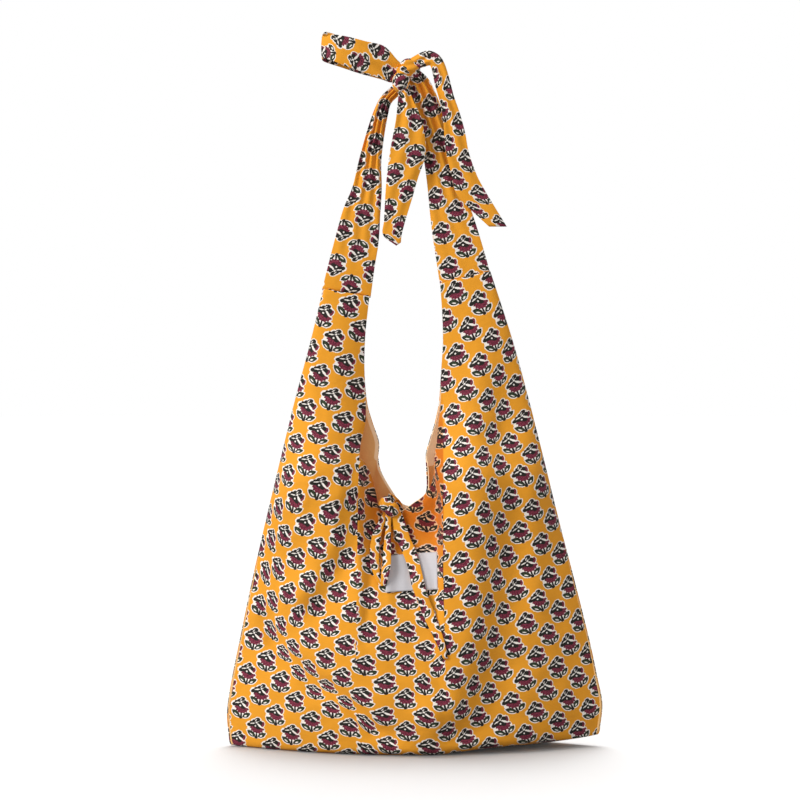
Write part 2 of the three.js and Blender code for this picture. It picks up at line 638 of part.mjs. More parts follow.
function toManifold(geometry) {
  const bare = new THREE.BufferGeometry();
  bare.setAttribute("position", geometry.attributes.position);
  bare.setIndex(geometry.index);
  const merged = mergeVertices(bare, 1e-3);
  const corners = merged.index.array;
  const kept = [];
  for (let i = 0; i < corners.length; i += 3) {
    const [a, b, c] = corners.slice(i, i + 3);
    if (a !== b && b !== c && c !== a) kept.push(a, b, c);
  }
  return new wasm.Manifold(new wasm.Mesh({
    numProp: 3,
    vertProperties: new Float32Array(merged.attributes.position.array),
    triVerts: new Uint32Array(kept),
  }));
}

function fromManifold(solid) {
  const mesh = solid.getMesh();
  const geometry = new THREE.BufferGeometry();
  geometry.setAttribute("position", new THREE.Float32BufferAttribute(mesh.vertProperties, 3));
  geometry.setIndex(Array.from(mesh.triVerts));
  geometry.computeVertexNormals();
  return geometry;
}

// A band with what would lie inside its knot cut away
function trimmed(geometry, lobes) {
  const cutter = toManifold(knotGeometry(lobes, KNOT_GAP));
  return fromManifold(toManifold(geometry).subtract(cutter));
}

const printed = { color: 0xf0a030, roughness: 0.85, metalness: 0 };
const plain = { color: 0xcdb083, roughness: 0.9, metalness: 0 };
const woven = { color: 0xd9d6d6, roughness: 0.7, metalness: 0 };

const bag = new THREE.Group();

function addPiece(name, geometry, finish) {
  const mesh = new THREE.Mesh(geometry, new THREE.MeshStandardMaterial(finish));
  mesh.name = name;
  bag.add(mesh);
}

const frontFace = weld(panelPatches(FRONT, FRONT_MIDDLE));
const backFace = weld(panelPatches(BACK, BACK_MIDDLE), true);
frontFace.seamed = true;
backFace.seamed = true;

function addPanels() {
  const liningIn = CLOTH + LINING_GAP;
  addPiece("panel_front", sheetGeometry(frontFace, 0, CLOTH), printed);
  addPiece("panel_back", sheetGeometry(backFace, 0, CLOTH), printed);
  addPiece("lining_front", sheetGeometry(frontFace, liningIn, liningIn + LINING), plain);
  addPiece("lining_back", sheetGeometry(backFace, liningIn, liningIn + LINING), plain);
}

function addStraps() {
  addPiece("knot", knotGeometry(STRAP_KNOT, 0), printed);
  addPiece("strap_left", trimmed(ribbonGeometry(STRAP_LEFT, 18, 5), STRAP_KNOT), printed);
  addPiece("strap_right", trimmed(ribbonGeometry(STRAP_RIGHT, 18, 5), STRAP_KNOT), printed);
  addPiece("tail_front", trimmed(ribbonGeometry(TAIL_FRONT, 16, 5), STRAP_KNOT), printed);
  addPiece("tail_right", trimmed(ribbonGeometry(TAIL_RIGHT, 24, 5), STRAP_KNOT), printed);
  addPiece("bow_loop", trimmed(ribbonGeometry(BOW_LOOP, 28, 5), STRAP_KNOT), printed);
}

function addMouthTie() {
  addPiece("tie_knot", knotGeometry(TIE_KNOT, 0), printed);
  addPiece("tie_loop", trimmed(ribbonGeometry(laidRows(frontFace, TIE_LOOP), 28, 3), TIE_KNOT), printed);
  addPiece("tie_end", trimmed(ribbonGeometry(laidRows(frontFace, TIE_END), 22, 3), TIE_KNOT), printed);
  addPiece("tie_back", trimmed(ribbonGeometry(TIE_BACK, 10, 3), TIE_KNOT), printed);
}

function addLabel() {
  const corner = (from, to, t) => [mix(from[0], to[0], t), mix(from[1], to[1], t)];
  const rows = steps(LABEL_ROWS).map((v) => steps(LABEL_COLUMNS).map((u) => {
    const low = corner(LABEL.bottomLeft, LABEL.bottomRight, u);
    const high = corner(LABEL.topLeft, LABEL.topRight, u);
    const [x, z] = corner(low, high, v);
    return new THREE.Vector3(x, faceY(frontFace, x, z) - LABEL_STANDOFF, z);
  }));
  addPiece("label", sheetGeometry(weld([rows]), 0, LABEL_THICK), woven);
}

addPanels();
addStraps();
addMouthTie();
addLabel();

export default bag;
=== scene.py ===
"""Slouchy shoulder tote bag in printed cotton, standing with its straps tied up in a bow.

Shapes are worked out in millimetres, +Z up and front facing -Y, and become metres in their
meshes. Every cloth piece is a grid of points over two parameters, held as a numpy array.
"""

import bmesh
import bpy
import numpy as np
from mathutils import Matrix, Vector
from mathutils.bvhtree import BVHTree


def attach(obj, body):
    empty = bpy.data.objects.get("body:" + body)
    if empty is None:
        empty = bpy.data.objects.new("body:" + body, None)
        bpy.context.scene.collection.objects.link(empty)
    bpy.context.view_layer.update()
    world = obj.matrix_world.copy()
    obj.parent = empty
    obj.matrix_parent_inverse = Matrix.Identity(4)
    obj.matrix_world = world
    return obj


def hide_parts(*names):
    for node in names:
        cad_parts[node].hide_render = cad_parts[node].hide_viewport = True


bl_info = {
    "name": "Shoulder tote bag",
    "version": (1, 0, 0),
    "blender": (4, 5, 0),
    "location": "View3D > Sidebar > Tote bag",
    "description": "Builds a slouchy printed cotton tote bag around its packed frame",
    "category": "Object",
}

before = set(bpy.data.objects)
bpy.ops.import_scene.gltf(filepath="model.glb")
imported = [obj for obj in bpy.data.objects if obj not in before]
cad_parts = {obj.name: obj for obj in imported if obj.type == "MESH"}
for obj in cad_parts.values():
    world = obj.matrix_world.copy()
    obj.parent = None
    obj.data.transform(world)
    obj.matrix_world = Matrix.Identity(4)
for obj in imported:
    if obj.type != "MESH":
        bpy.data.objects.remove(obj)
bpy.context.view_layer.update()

MM = 0.001
WELD = 0.002 * MM
BODY_NAME = "root"


# Short tables
def table(text):
    """Rows of numbers under a line of column names, as one array for each column."""
    names, *rows = (line.split() for line in text.strip().splitlines())
    return dict(zip(names, np.array(rows, float).T))


# Outline and belly of the bag: its edges, the depth of each side at a height, and how the
# section closes to the side seams, from rounded under 1 to pointed over 1
BODY = table("""
z left right front back close
0 -198 197 63 62 1.1
33 -201 200.5 66 66 1.08
65 -197 195.5 66 65 1.04
113 -187.5 186.5 63 60 1
178 -174 170.5 55 51 0.95
242 -159.5 154 46 42 0.85
309 -143.5 137.5 36 32 0.75
370 -128.5 122 30 26 0.7
434 -111.5 104.5 20 18 0.7
510 -93.5 80 10 10 0.7
""")

# How full the wings are between their two edges, and how square their outer edge is
WING = table("""
z swell square
190 10 2.5
309 14 4
370 11 8
434 6 12
510 0.6 16
""")

# Inner edge of each wing. Below the fork it is the fold where the wing meets the sunk middle.
FRONT_FORK = table("""
z left right depth
0 -62 33 60
100 -62 31 57
200 -61 29 47
242 -60.5 29 42
275 -60 28 38
295 -59.5 23 33
309 -59 20.5 25
325 -57.5 23 15
345 -53 25 8.5
366 -52.5 27.5 5.2
400 -54 28 4.3
434 -53.5 30 4.3
466 -50.5 29 4.3
495 -47 27 4.3
""")
BACK_FORK = table("""
z left right depth
0 -60 33 58
100 -60 31 54
200 -56 27 41
242 -52 24 32
275 -46 17 21
309 -39.5 11.5 9
325 -38.5 15 7
345 -45 21 5.6
366 -51 25.5 4.8
400 -54 28 4.3
434 -53.5 30 4.3
466 -50.5 29 4.3
495 -47 27 4.3
""")

# The mouth's curved edge between the two forks, from left to right
FRONT_MOUTH = table("""
u x z
0 -59 309
0.1 -52 302
0.2 -45.5 287
0.3 -41.5 271
0.4 -38 256
0.5 -29 247
0.6 -15 251
0.7 -2 260
0.8 9 268
0.9 18.5 284
1 20.5 309
""")
BACK_MOUTH = table("""
u x z
0 -39.5 309
0.2 -36 293
0.4 -24 272
0.55 -13 258
0.7 -1 257
0.85 12 272
1 11.5 309
""")

# How far the middle is drawn in behind the wings by the tie, by row height
FRONT_SINK = table("""
z sink
80 0
113 1.5
150 4
200 9
242 18
270 20
290 18
309 13
""")
BACK_SINK = table("""
z sink
80 0
150 2
200 4
242 5
309 3
""")

# Soft troughs and ridges along paths of x and z: depth, width, path. A negative depth is a ridge.
FRONT_CREASES = (
    (8, 12, ((-161, 134), (-149, 113), (-134, 98), (-105, 71), (-90, 64), (-68, 50), (-42, 27), (-26, 15))),
    (-3, 15, ((122, 286), (128, 161))),
    (-1.6, 6, ((-150, 104), (-120, 75), (-86, 54), (-52, 26))),
    (2.2, 6, ((-30, 238), (-42, 205), (-50, 160), (-52, 120))),
    (2, 5, ((-20, 238), (-8, 205), (-4, 170))),
    (-1.5, 5, ((-24, 236), (-28, 200), (-27, 160), (-22, 130))),
    (1.8, 5, ((-12, 240), (6, 218), (18, 190), (22, 150))),
    (1.6, 6, ((-66, 292), (-76, 240), (-74, 190))),
    (1.5, 7, ((44, 120), (70, 84), (108, 44), (128, 18))),
    (1.6, 8, ((-170, 78), (-150, 40), (-140, 10))),
    (1.4, 9, ((150, 150), (162, 90), (176, 40))),
    (-1.2, 7, ((-100, 330), (-112, 280), (-128, 230))),
    (1.3, 6, ((70, 440), (84, 380), (96, 330))),
    (1.1, 5, ((-90, 455), (-98, 400), (-100, 350))),
    (1.2, 6, ((14, 112), (26, 70), (30, 30))),
)
BACK_CREASES = (
    (6, 18, ((-95, 330), (-88, 220), (-100, 120))),
    (6, 18, ((78, 340), (70, 230), (96, 110), (130, 60))),
    (4, 16, ((-150, 110), (-90, 70), (-30, 50))),
    (1.8, 6, ((-92, 300), (-86, 210), (-104, 110))),
    (1.6, 6, ((-140, 100), (-92, 68), (-40, 48))),
    (1.8, 7, ((74, 320), (68, 225), (94, 112), (128, 62))),
    (1.6, 6, ((-10, 240), (-16, 180), (-12, 110))),
    (-1.2, 7, ((110, 330), (124, 260), (140, 190))),
)

# Folds where the cloth steps down to the left of a path's way, by twice the drop, and eases
# back: drop, width, path
RIGHT_STEP = (
    (98, 428), (86, 371), (78, 327), (82, 268), (82, 210), (79, 167), (69, 94), (55, 48), (41, 32),
)
LEFT_STEP = ((-66, 265), (-73, 224), (-86, 198), (-101, 174), (-117, 153))
FRONT_FOLDS = ((6.5, 22, RIGHT_STEP), (5, 14, LEFT_STEP))
BACK_FOLDS = (
    (4, 18, ((-60, 330), (-64, 230), (-90, 150), (-130, 100))),
)

# The strap seams: height of each wing's top at its outer and inner edge
LEFT_SEAM = {"outer": 489, "inner": 480.5}
RIGHT_SEAM = {"outer": 508, "inner": 495}

# The base's corners curl up off the floor, and so does the front's lower edge on the right
CURL = {"left_start": -110, "left_rise": 1, "right_start": 60, "right_rise": 12.5, "fade": 140}
LIFT = {"start": 12, "full": 90, "fade": 120}

CLOTH = 1.2
LINING = 1.0
LINING_INSET = 1.6
HEM_RISE = 1.6
HEM_FADE = 0.1
SEAM_GAP = 0.3
FORK_LEVEL = 309
BASE_RADIUS = 9
CORNER_INSET = 3

# The wings part from the full bag's depth from this height up
WING_START = 190

# Slack in the cloth: how deep it is, how many waves make it and how long they are, and the depth
# off the seam plane and height off the floor over which slack and folds come in
RUMPLE = {"depth": 0.7, "waves": 9, "shortest": 26, "longest": 70}
SLACK_DEPTH = (2, 24)
SLACK_HEIGHT = (0, 30)

# How sharply the middle turns in behind each wing, as a share of its width
FRONT_TURN = {"left": 0.15, "right": 0.1}
BACK_TURN = {"left": 0.24, "right": 0.24}

# Bands of the tied straps, by their two edges from the seam to the knot
STRAP_LEFT = table("""
ax az bx bz y thick pleat
-99.5 488 -47.5 479.5 0 5 0
-91 522 -43 513 0 4.5 0.2
-85 545 -39 538 1 4 0.5
-77 574 -37 570 2 4 0.8
-67 598 -35.5 597 3 4.5 1.2
-60 627 -36 626 4 5 2
-51.5 658 -32.5 656 4 6 2.8
-43.5 682 -28.5 677 4 6.5 3
-36 696 -25 688 3 7 2.8
-25 706 -16 697 2 7.5 1.4
""")
STRAP_RIGHT = table("""
ax az bx bz y thick pleat
26.7 494 80.2 507 0 5 0
23.5 515 75 526 0 4.5 0.2
19 545 66 556 1 4 0.4
16 571 57.5 582 2 4 0.7
13 602 49 612 3 4.5 1.1
9 630 41 640 4 5 2.1
2.5 657 33 668 4 5.5 3
-4 682 25 692 4 6 3.8
-8 701 15 713 4 6.5 3.6
-12 712 3 725 3 7 2.2
""")
TAIL_FRONT = table("""
ax az bx bz y thick pleat
-17 706 -8 706 -6 6 1
-18 692 -3 692 -8 5 1.4
-20.5 668 6.5 670 -9 3.5 1.2
-25.5 642 11.5 644 -9 3 0.8
-28 626 10.5 628 -8.5 3 0.7
-30.5 604 3 606 -8 3 0.6
-32 583 -3 585 -7.5 3 0.5
-33 562 -9.5 564 -7 3 0.4
-34 546 -14 547 -7 3 0.2
-20 534.5 -15 538 -7 2.6 0
""")
TAIL_RIGHT = table("""
ax az bx bz y thick pleat
-5 735 0 723 -3 6 0.8
6 741 9 725.5 -5 5.5 1.2
15 743 15 727 -6.5 5 1
25 738.5 17 725 -7.5 4.5 0.7
31 730 19 717 -8 4 0.6
36 715 21.5 705 -8 4 0.8
41.5 694 26.5 687.5 -8 4 0.9
48 675 30 668 -7.5 4 0.9
53.5 655 31.5 649 -7 3.6 0.8
57.5 634 34 630 -6.5 3.3 0.7
66 610 39.5 609 -6 3 0.5
74.5 594 43.5 591.5 -6 3 0.4
84 578 55.5 577 -6 3 0.2
98 555 79 555 -6 3 0
""")

# The bow's loop, from the knot out along its front layer, round its end and back behind
BOW_LOOP = table("""
ax ay az bx by bz thick pleat
-14 -3 729 -18 -3 716 4 1.2
-20 -5 734 -25 -5 710.5 3.4 1.4
-33 -8 747 -39.5 -9 713.5 3 1.2
-52.5 -10 752 -59 -12 720 3 0.8
-71.5 -10 757 -75 -13 725.5 3 0.4
-86.5 -6 760 -85 -12 730 3 0.2
-96 0 759 -94 -6 734 3 0
-99 6 762 -99 0 735 3 0
-94 11 766 -97 7 733 3 0.2
-75 13 759 -80 11 728 3 0.4
-52.5 12 750 -59 10 721 3 0.7
-32 9 742.5 -37.5 8 715 3 1
-20.5 6 732 -25 6 711 3 1
-13 4 728 -17 4 717 3 0.8
""")

# Mouth tie: strands lie a little above the front panel, by the height in column above
TIE_LOOP = table("""
ax az bx bz above thick
-31 253 -26 253 6 2
-31.5 247 -25 247 6 2
-31.5 233 -25.5 233 5.5 1.8
-33.5 214 -25.5 214 5.2 1.8
-35 195 -25.5 198 5 1.8
-36 183 -28 185 4.5 1.8
-36.5 176 -30.5 177 3.2 1.8
-41 182 -34 178 1.9 1.8
-46.5 195 -37 191 1.8 1.8
-48 208 -38 206.5 1.8 1.8
-46.5 222 -37 221 1.9 1.8
-43.5 233 -35 231 2 1.8
-37 244 -31.5 241 2.4 2
-33 252 -28 248 3 2
""")
TIE_END = table("""
ax az bx bz above thick
-26 257 -20 258 7 2.4
-24.5 246 -13.5 248 5 2.2
-23 233 -9 236 3 2
-18.5 220 -5 223.5 3.4 2
-12 205.5 2 208.5 4.2 2
-7 191 6 194 4.4 2
-3.5 175 9.5 179 4.2 2
3 159 14 163 3 2
8.5 144 20 148.5 1.8 2
15.5 130.5 25 134.5 1.8 2
22 117 30 120 1.8 2
29.5 101 33.5 102.5 1.8 1.8
""")
TIE_BACK = table("""
ax ay az bx by bz thick pleat
-21 2.2 251 -12 2.2 245 1.5 0
-23 1.8 261 -13 1.8 255 1.5 0
-25 -2 269 -16 -2 262 1.5 0
-28 -9 270 -21 -9 263 1.6 0.2
-31 -17 262 -26 -17 257 1.8 0.3
""")
TIE_FRONT_Y = -12

# A strand's rows are evened together by fives, and none falls further behind its face than this
TIE_EVENED = 5
TIE_BEHIND = 0.6

# Knots: rounded lobes with gathers that run from one end of an axis to the other, how far the
# gathers slant on the way and how soon they fade towards the ends
LOBE_SLANT = 2
LOBE_FADE = 0.7
STRAP_KNOT = table("""
x y z rx ry rz lean gathers depth start_u start_v
-15 -5 709.5 9.5 9.5 11.5 -35 7 0.05 -13 1
-6 0 725 11.5 9.5 10 62 6 0.12 11 3.5
-13 -3 720 7.5 9.5 7 70 6 0.12 0 0
""")
TIE_KNOT = table("""
x y z rx ry rz lean gathers depth start_u start_v
-30.5 -21 259.5 8 6 8.5 -30 4 0.06 4 -3
-25 -21 254.5 8 6 8 30 4 0.06 14 -2
""")

# The bare woven label, by its corners as x and z
LABEL_CORNERS = {
    "top_left": (-26, 206),
    "top_right": (22.5, 210),
    "bottom_right": (23, 172),
    "bottom_left": (-31.5, 169),
}
LABEL_STANDOFF = 2
LABEL_THICK = 0.8
LABEL_GRID = (36, 26)

# The camera stands level in front of the bag: its place, and its lens
CAMERA_PLACE = (-0.016, -2.1, 0.37)
CAMERA_LENS = 88.3

# The studio: suns by their turn, strength, spread and whether they leave out the floor or light
# only that, the sky's strength, and the floor's half width, glow, and tone to camera and bag
SUNS = (
    ("key", (58, 0, -58), 2.5, 26, "EXCLUDE"),
    ("fill", (66, 0, 48), 0.2, 70, "EXCLUDE"),
    ("overhead", (-14, 0, 0), 2.6, 36, "INCLUDE"),
)
SKY_LIGHT = 0.44
FLOOR = {"half": 40.0, "glow": 0.02, "seen": 0.85, "cast": 0.4}
WHITE = (1, 1, 1, 1)


# Sums over arrays
def mix(a, b, t):
    """The place a share t of the way from a to b."""
    return a + (b - a) * t


def ease(low, high, at):
    """Zero below low, one above high, with a smooth cubic step between."""
    t = np.clip((at - low) / (high - low), 0, 1)
    return t * t * (3 - 2 * t)


def lengths(steps, axis=0):
    """Running length from zero over the steps between neighbouring points along an axis."""
    start = np.zeros_like(steps.take([0], axis=axis))
    return np.concatenate([start, np.cumsum(steps, axis=axis)], axis=axis)


def curve(rows, key, by="z"):
    """A smooth cubic through one column of a table, held level past its ends. Its slope at each
    row is that of the straight line between the rows to both sides."""
    knots, values = rows[by], rows[key]
    last = len(knots) - 1
    before = np.maximum(np.arange(last + 1) - 1, 0)
    after = np.minimum(np.arange(last + 1) + 1, last)
    slope = (values[after] - values[before]) / (knots[after] - knots[before])

    def at_place(at):
        at = np.clip(at, knots[0], knots[last])
        i = np.clip(np.searchsorted(knots, at) - 1, 0, last - 1)
        gap = knots[i + 1] - knots[i]
        t = (at - knots[i]) / gap
        rise = values[i + 1] - values[i]
        bend = t * (1 - t) * ((slope[i] * gap - rise) * (1 - t) - (slope[i + 1] * gap - rise) * t)
        return values[i] + rise * t + bend

    return at_place


def beside_path(path, x, z):
    """How each point lies beside a path of straight stretches: how far from it, its offset to
    the left of the path's way, and how far it is past either end."""
    nearest = np.full(np.shape(x), np.inf)
    offset = np.zeros(np.shape(x))
    beyond = np.zeros(np.shape(x))
    last = len(path) - 2
    for i, ((ax, az), (bx, bz)) in enumerate(zip(path, path[1:])):
        length = np.hypot(bx - ax, bz - az)
        along = ((x - ax) * (bx - ax) + (z - az) * (bz - az)) / length
        beside = ((bx - ax) * (z - az) - (bz - az) * (x - ax)) / length
        past = along - np.clip(along, 0, length)
        far = np.hypot(beside, past)
        outside = ((i == 0) & (past < 0)) | ((i == last) & (past > 0))
        closer = far < nearest
        offset = np.where(closer, np.where(outside, beside, np.sign(beside) * far), offset)
        beyond = np.where(closer, np.where(outside, past, 0), beyond)
        nearest = np.minimum(nearest, far)
    return nearest, offset, beyond


def folded_back(panel, x, z):
    """How far the folds move the cloth back. A trough is its depth times a bell of the distance
    to its path. A step is a ridge on one side of its path that swings into a trough on the
    other: the offset times a bell of it, scaled to reach the drop at one width away."""
    depth = np.zeros(np.shape(x))
    for most, width, path in panel["creases"]:
        depth += most * np.exp(-((beside_path(path, x, z)[0] / width) ** 2))
    for drop, width, path in panel["folds"]:
        offset, past = beside_path(path, x, z)[1:]
        off = offset / width
        depth += drop * off * np.exp((1 - off**2) / 2 - (past / width) ** 2)
    return depth


def rumple(x, z, seed):
    """Slack in the cloth: a sum of sine waves of seeded directions and lengths, about -1 to 1."""
    waves = RUMPLE["waves"]
    draw = np.random.default_rng(seed)
    total = np.zeros(np.shape(x))
    for length, angle, phase in zip(
        draw.uniform(RUMPLE["shortest"], RUMPLE["longest"], waves),
        draw.uniform(0, np.pi, waves),
        draw.uniform(0, 2 * np.pi, waves),
    ):
        total += np.sin(2 * np.pi * (x * np.cos(angle) + z * np.sin(angle)) / length + phase)
    return total / np.sqrt(waves)


body_left = curve(BODY, "left")
body_right = curve(BODY, "right")
body_close = curve(BODY, "close")
wing_swell = curve(WING, "swell")
wing_square = curve(WING, "square")


def panel_sizes(side, belly, fork, mouth, sink, **shape):
    """One side of the bag: its tables as smooth curves of height. Slant says how much of the
    sink the middle takes at its left and right, and lift how high its lower edge rises."""
    return {
        "side": side,
        "reach": curve(BODY, belly),
        "inner_left": curve(fork, "left"),
        "inner_right": curve(fork, "right"),
        "inner_depth": curve(fork, "depth"),
        "mouth_x": curve(mouth, "x", "u"),
        "mouth_z": curve(mouth, "z", "u"),
        "sunk": curve(sink, "sink"),
        **shape,
    }


FRONT = panel_sizes(
    -1, "front", FRONT_FORK, FRONT_MOUTH, FRONT_SINK,
    slant=(0.8, 1.25), creases=FRONT_CREASES, folds=FRONT_FOLDS, turn=FRONT_TURN, lift=6, seed=3,
)
BACK = panel_sizes(
    1, "back", BACK_FORK, BACK_MOUTH, BACK_SINK,
    slant=(1, 1), creases=BACK_CREASES, folds=BACK_FOLDS, turn=BACK_TURN, lift=0, seed=8,
)


# The two sides of the bag
def lens_depth(panel, x, z):
    """Depth of the full bag, closed at both side seams: its belly's reach times a power of one
    less the square of the way from the middle to a seam."""
    middle = (body_left(z) + body_right(z)) / 2
    half = (body_right(z) - body_left(z)) / 2
    off = np.minimum(np.abs(x - middle) / half, 1)
    return panel["reach"](z) * (1 - off**2) ** body_close(z)


def wing_depth(panel, t, x, z):
    """Depth across a wing, t from its outer edge at 0 to its inner edge at 1: the root of one
    less a power of 1 - t, and a swell of 4t(1 - t). Low down it is the full bag's depth."""
    rise = np.sqrt(1 - (1 - t) ** wing_square(z))
    wing = panel["inner_depth"](z) * rise + wing_swell(z) * 4 * t * (1 - t)
    return mix(lens_depth(panel, x, z), wing, ease(WING_START, FORK_LEVEL, z))


def floor_curl(panel, x, share):
    """How far the base is off the floor: the square of the way from where each end's curl
    starts, and the lift of the lower edge. Share is 0 at the base's middle line, 1 at its edge."""
    left = np.maximum((x - CURL["left_start"]) / (BODY["left"][0] - CURL["left_start"]), 0)
    right = np.maximum((x - CURL["right_start"]) / (BODY["right"][0] - CURL["right_start"]), 0)
    lifted = ease(LIFT["start"], LIFT["full"], x) * (1 - ease(LIFT["fade"], BODY["right"][0], x)) * share**2
    return CURL["left_rise"] * left**2 + CURL["right_rise"] * right**2 + panel["lift"] * lifted


def wing_point(panel, left, t, up):
    """A wing's x, depth and z: straight rows between its outer and inner edge curves."""
    seam = LEFT_SEAM if left else RIGHT_SEAM
    climb = np.maximum(up - 3, 0)
    level = mix(BASE_RADIUS, FORK_LEVEL, np.minimum(up - 2, 1))
    outer_z = mix(level, seam["outer"], climb)
    inner_z = mix(level, seam["inner"], climb)
    outer_x = body_left(outer_z) if left else body_right(outer_z)
    inner_x = panel["inner_left"](inner_z) if left else panel["inner_right"](inner_z)
    x = mix(outer_x, inner_x, t)
    z = mix(outer_z, inner_z, t)
    return x, wing_depth(panel, t, x, z), z


def middle_point(panel, u, up):
    """The sunk middle: rows that bend to the mouth's edge by the fourth power of the way up in
    x and by its square in z, at the full bag's depth less what the tie draws in."""
    level = mix(BASE_RADIUS, FORK_LEVEL, up - 2)
    left_x = panel["inner_left"](level)
    right_x = panel["inner_right"](level)
    share = (level - BASE_RADIUS) / (FORK_LEVEL - BASE_RADIUS)
    top_x = mix(panel["inner_left"](FORK_LEVEL), panel["inner_right"](FORK_LEVEL), u)
    x = mix(left_x, right_x, u) + (panel["mouth_x"](u) - top_x) * share**4
    z = level - (FORK_LEVEL - panel["mouth_z"](u)) * share**2
    extra_left = wing_depth(panel, 1, left_x, level) - lens_depth(panel, left_x, level)
    extra_right = wing_depth(panel, 1, right_x, level) - lens_depth(panel, right_x, level)
    drawn = panel["sunk"](level) * mix(*panel["slant"], u)
    drawn = drawn * ease(0, panel["turn"]["left"], u) * ease(0, panel["turn"]["right"], 1 - u)
    return x, lens_depth(panel, x, level) + mix(extra_left, extra_right, u) - drawn, z


def panel_grid(panel, block, across, up):
    """Points of a panel's outer face. Up runs 0 to 1 along the floor, 1 to 2 round the bottom
    edge, 2 to 3 up the wall to the fork, and 3 to 4 up a wing to the strap seam."""
    across, up = np.meshgrid(across, up)
    turn = np.clip(2 - up, 0, 1) * np.pi / 2
    wall = np.maximum(up, 2)
    if block == "middle":
        x, depth, z = middle_point(panel, across, wall)
    else:
        x, depth, z = wing_point(panel, block == "left", across, wall)
    slack = folded_back(panel, x, z) + RUMPLE["depth"] * rumple(x, z, panel["seed"])
    depth = depth - slack * ease(*SLACK_DEPTH, depth) * ease(*SLACK_HEIGHT, z)
    inset = BASE_RADIUS * (1 - np.cos(turn))
    middle = (BODY["left"][0] + BODY["right"][0]) / 2
    half = (BODY["right"][0] - BODY["left"][0]) / 2
    x = middle + (x - middle) * (1 - inset / half * CORNER_INSET / BASE_RADIUS)
    depth = depth * (1 - inset / panel["reach"](0)) * np.minimum(up, 1)
    drop = np.where(up < 2, BASE_RADIUS * np.sin(turn), 0)
    curl = floor_curl(panel, x, np.minimum(up, 1)) * (1 - ease(0, CURL["fade"], z - drop))
    z = z - drop + curl
    y = panel["side"] * np.maximum(depth, SEAM_GAP / 2)
    return np.stack([x, y, z], axis=-1)


def bunched(count):
    """Steps from 0 to 1, closer together at both ends: one less a half turn's cosine, halved."""
    return (1 - np.cos(np.linspace(0, np.pi, count + 1))) / 2


FLOOR_STEPS, BOTTOM_STEPS, WALL_STEPS, WING_STEPS = 5, 6, 120, 86
WING_COLUMNS, MIDDLE_COLUMNS = 46, 50


def panel_blocks(panel):
    """The panel as three blocks of points: left wing, middle under the mouth, right wing."""
    low = np.concatenate([
        np.linspace(0, 1, FLOOR_STEPS, endpoint=False),
        np.linspace(1, 2, BOTTOM_STEPS, endpoint=False),
        np.linspace(2, 3, WALL_STEPS + 1),
    ])
    high = np.concatenate([low, np.linspace(3, 4, WING_STEPS + 1)[1:]])
    wing = bunched(WING_COLUMNS)
    return {
        "left": panel_grid(panel, "left", wing, high),
        "middle": panel_grid(panel, "middle", bunched(MIDDLE_COLUMNS), low),
        "right": panel_grid(panel, "right", wing[::-1], high),
    }


# How the print runs over each side: a held point of the cloth, its grain's lean low down and
# GRAIN_HEIGHT up, how wide and how tall it is laid low down and high up, and its place at that
# point. The lean grows no more past the share GRAIN_TOP of that height.
GRAIN_HEIGHT = 400
GRAIN_TOP = 1.25
FRONT_GRAIN = {
    "left": ((-62, 45), (5, 20.5), 0.9, (1.15, 0.99), (-28.3, -89)),
    "middle": ((-14, 45), (-3, 12), 0.94, (1.16, 0.99), (14, -75.5)),
    "right": ((33, 45), (-15.5, -16), 0.94, (1.08, 0.96), (63.2, -76)),
}
BACK_GRAIN = {
    "left": ((-60, 45), (4, 12), 0.93, (1.1, 0.98), (-52, 50)),
    "middle": ((-14, 45), (-2, 2), 0.95, (1.1, 0.98), (-6, 50)),
    "right": ((33, 45), (-6, -12), 0.94, (1.08, 0.97), (41, 50)),
}

# Heights over which the middle's print stops running on from the wings', and over which the
# wings' print evens out
FRONT_JOIN = (85, 120)
BACK_JOIN = (330, 360)
EVEN_PRINT = (220, 340)

# Cloth taken up by the folds: the print's shift to each side of a path, its width and fade
FRONT_TAKEN = {
    "left": (
        ((7, 9), 15, 50, (
            (-151, 235), (-158, 169), (-150, 134), (-140, 108), (-105, 71),
            (-90, 64), (-68, 50), (-42, 27), (-26, 15),
        )),
        ((4.3, 3), 12, 30, LEFT_STEP),
    ),
    "middle": (),
    "right": (((4.2, -2.3), 16, 30, RIGHT_STEP),),
}
BACK_TAKEN = dict.fromkeys(FRONT_TAKEN, ())

# The print runs to +X on the front and to -X on the back
FRONT_PRINT = (FRONT_GRAIN, FRONT_TAKEN, FRONT_JOIN, 1)
BACK_PRINT = (BACK_GRAIN, BACK_TAKEN, BACK_JOIN, -1)


def flat_place(points, hold):
    """Where each point lies on the cloth cut flat: its length along the row from the held
    column and up its own column from the bottom edge, depth counted in. High on the wings,
    where the columns come together, what creases add to the way up is the same for all."""
    x, y, z = np.moveaxis(points, -1, 0)
    along = lengths(np.hypot(np.diff(x, axis=1), np.diff(y, axis=1)), axis=1)
    across = x[:, [hold]] + along - along[:, [hold]]
    climb = lengths(np.hypot(np.diff(z, axis=0), np.diff(y, axis=0)))
    bottom = [FLOOR_STEPS + BOTTOM_STEPS]
    rise = z - z[bottom]
    added = climb - climb[bottom] - rise
    even = np.median(added, axis=1, keepdims=True)
    up = BASE_RADIUS + rise + mix(added, even, ease(*EVEN_PRINT, z))
    return across, up


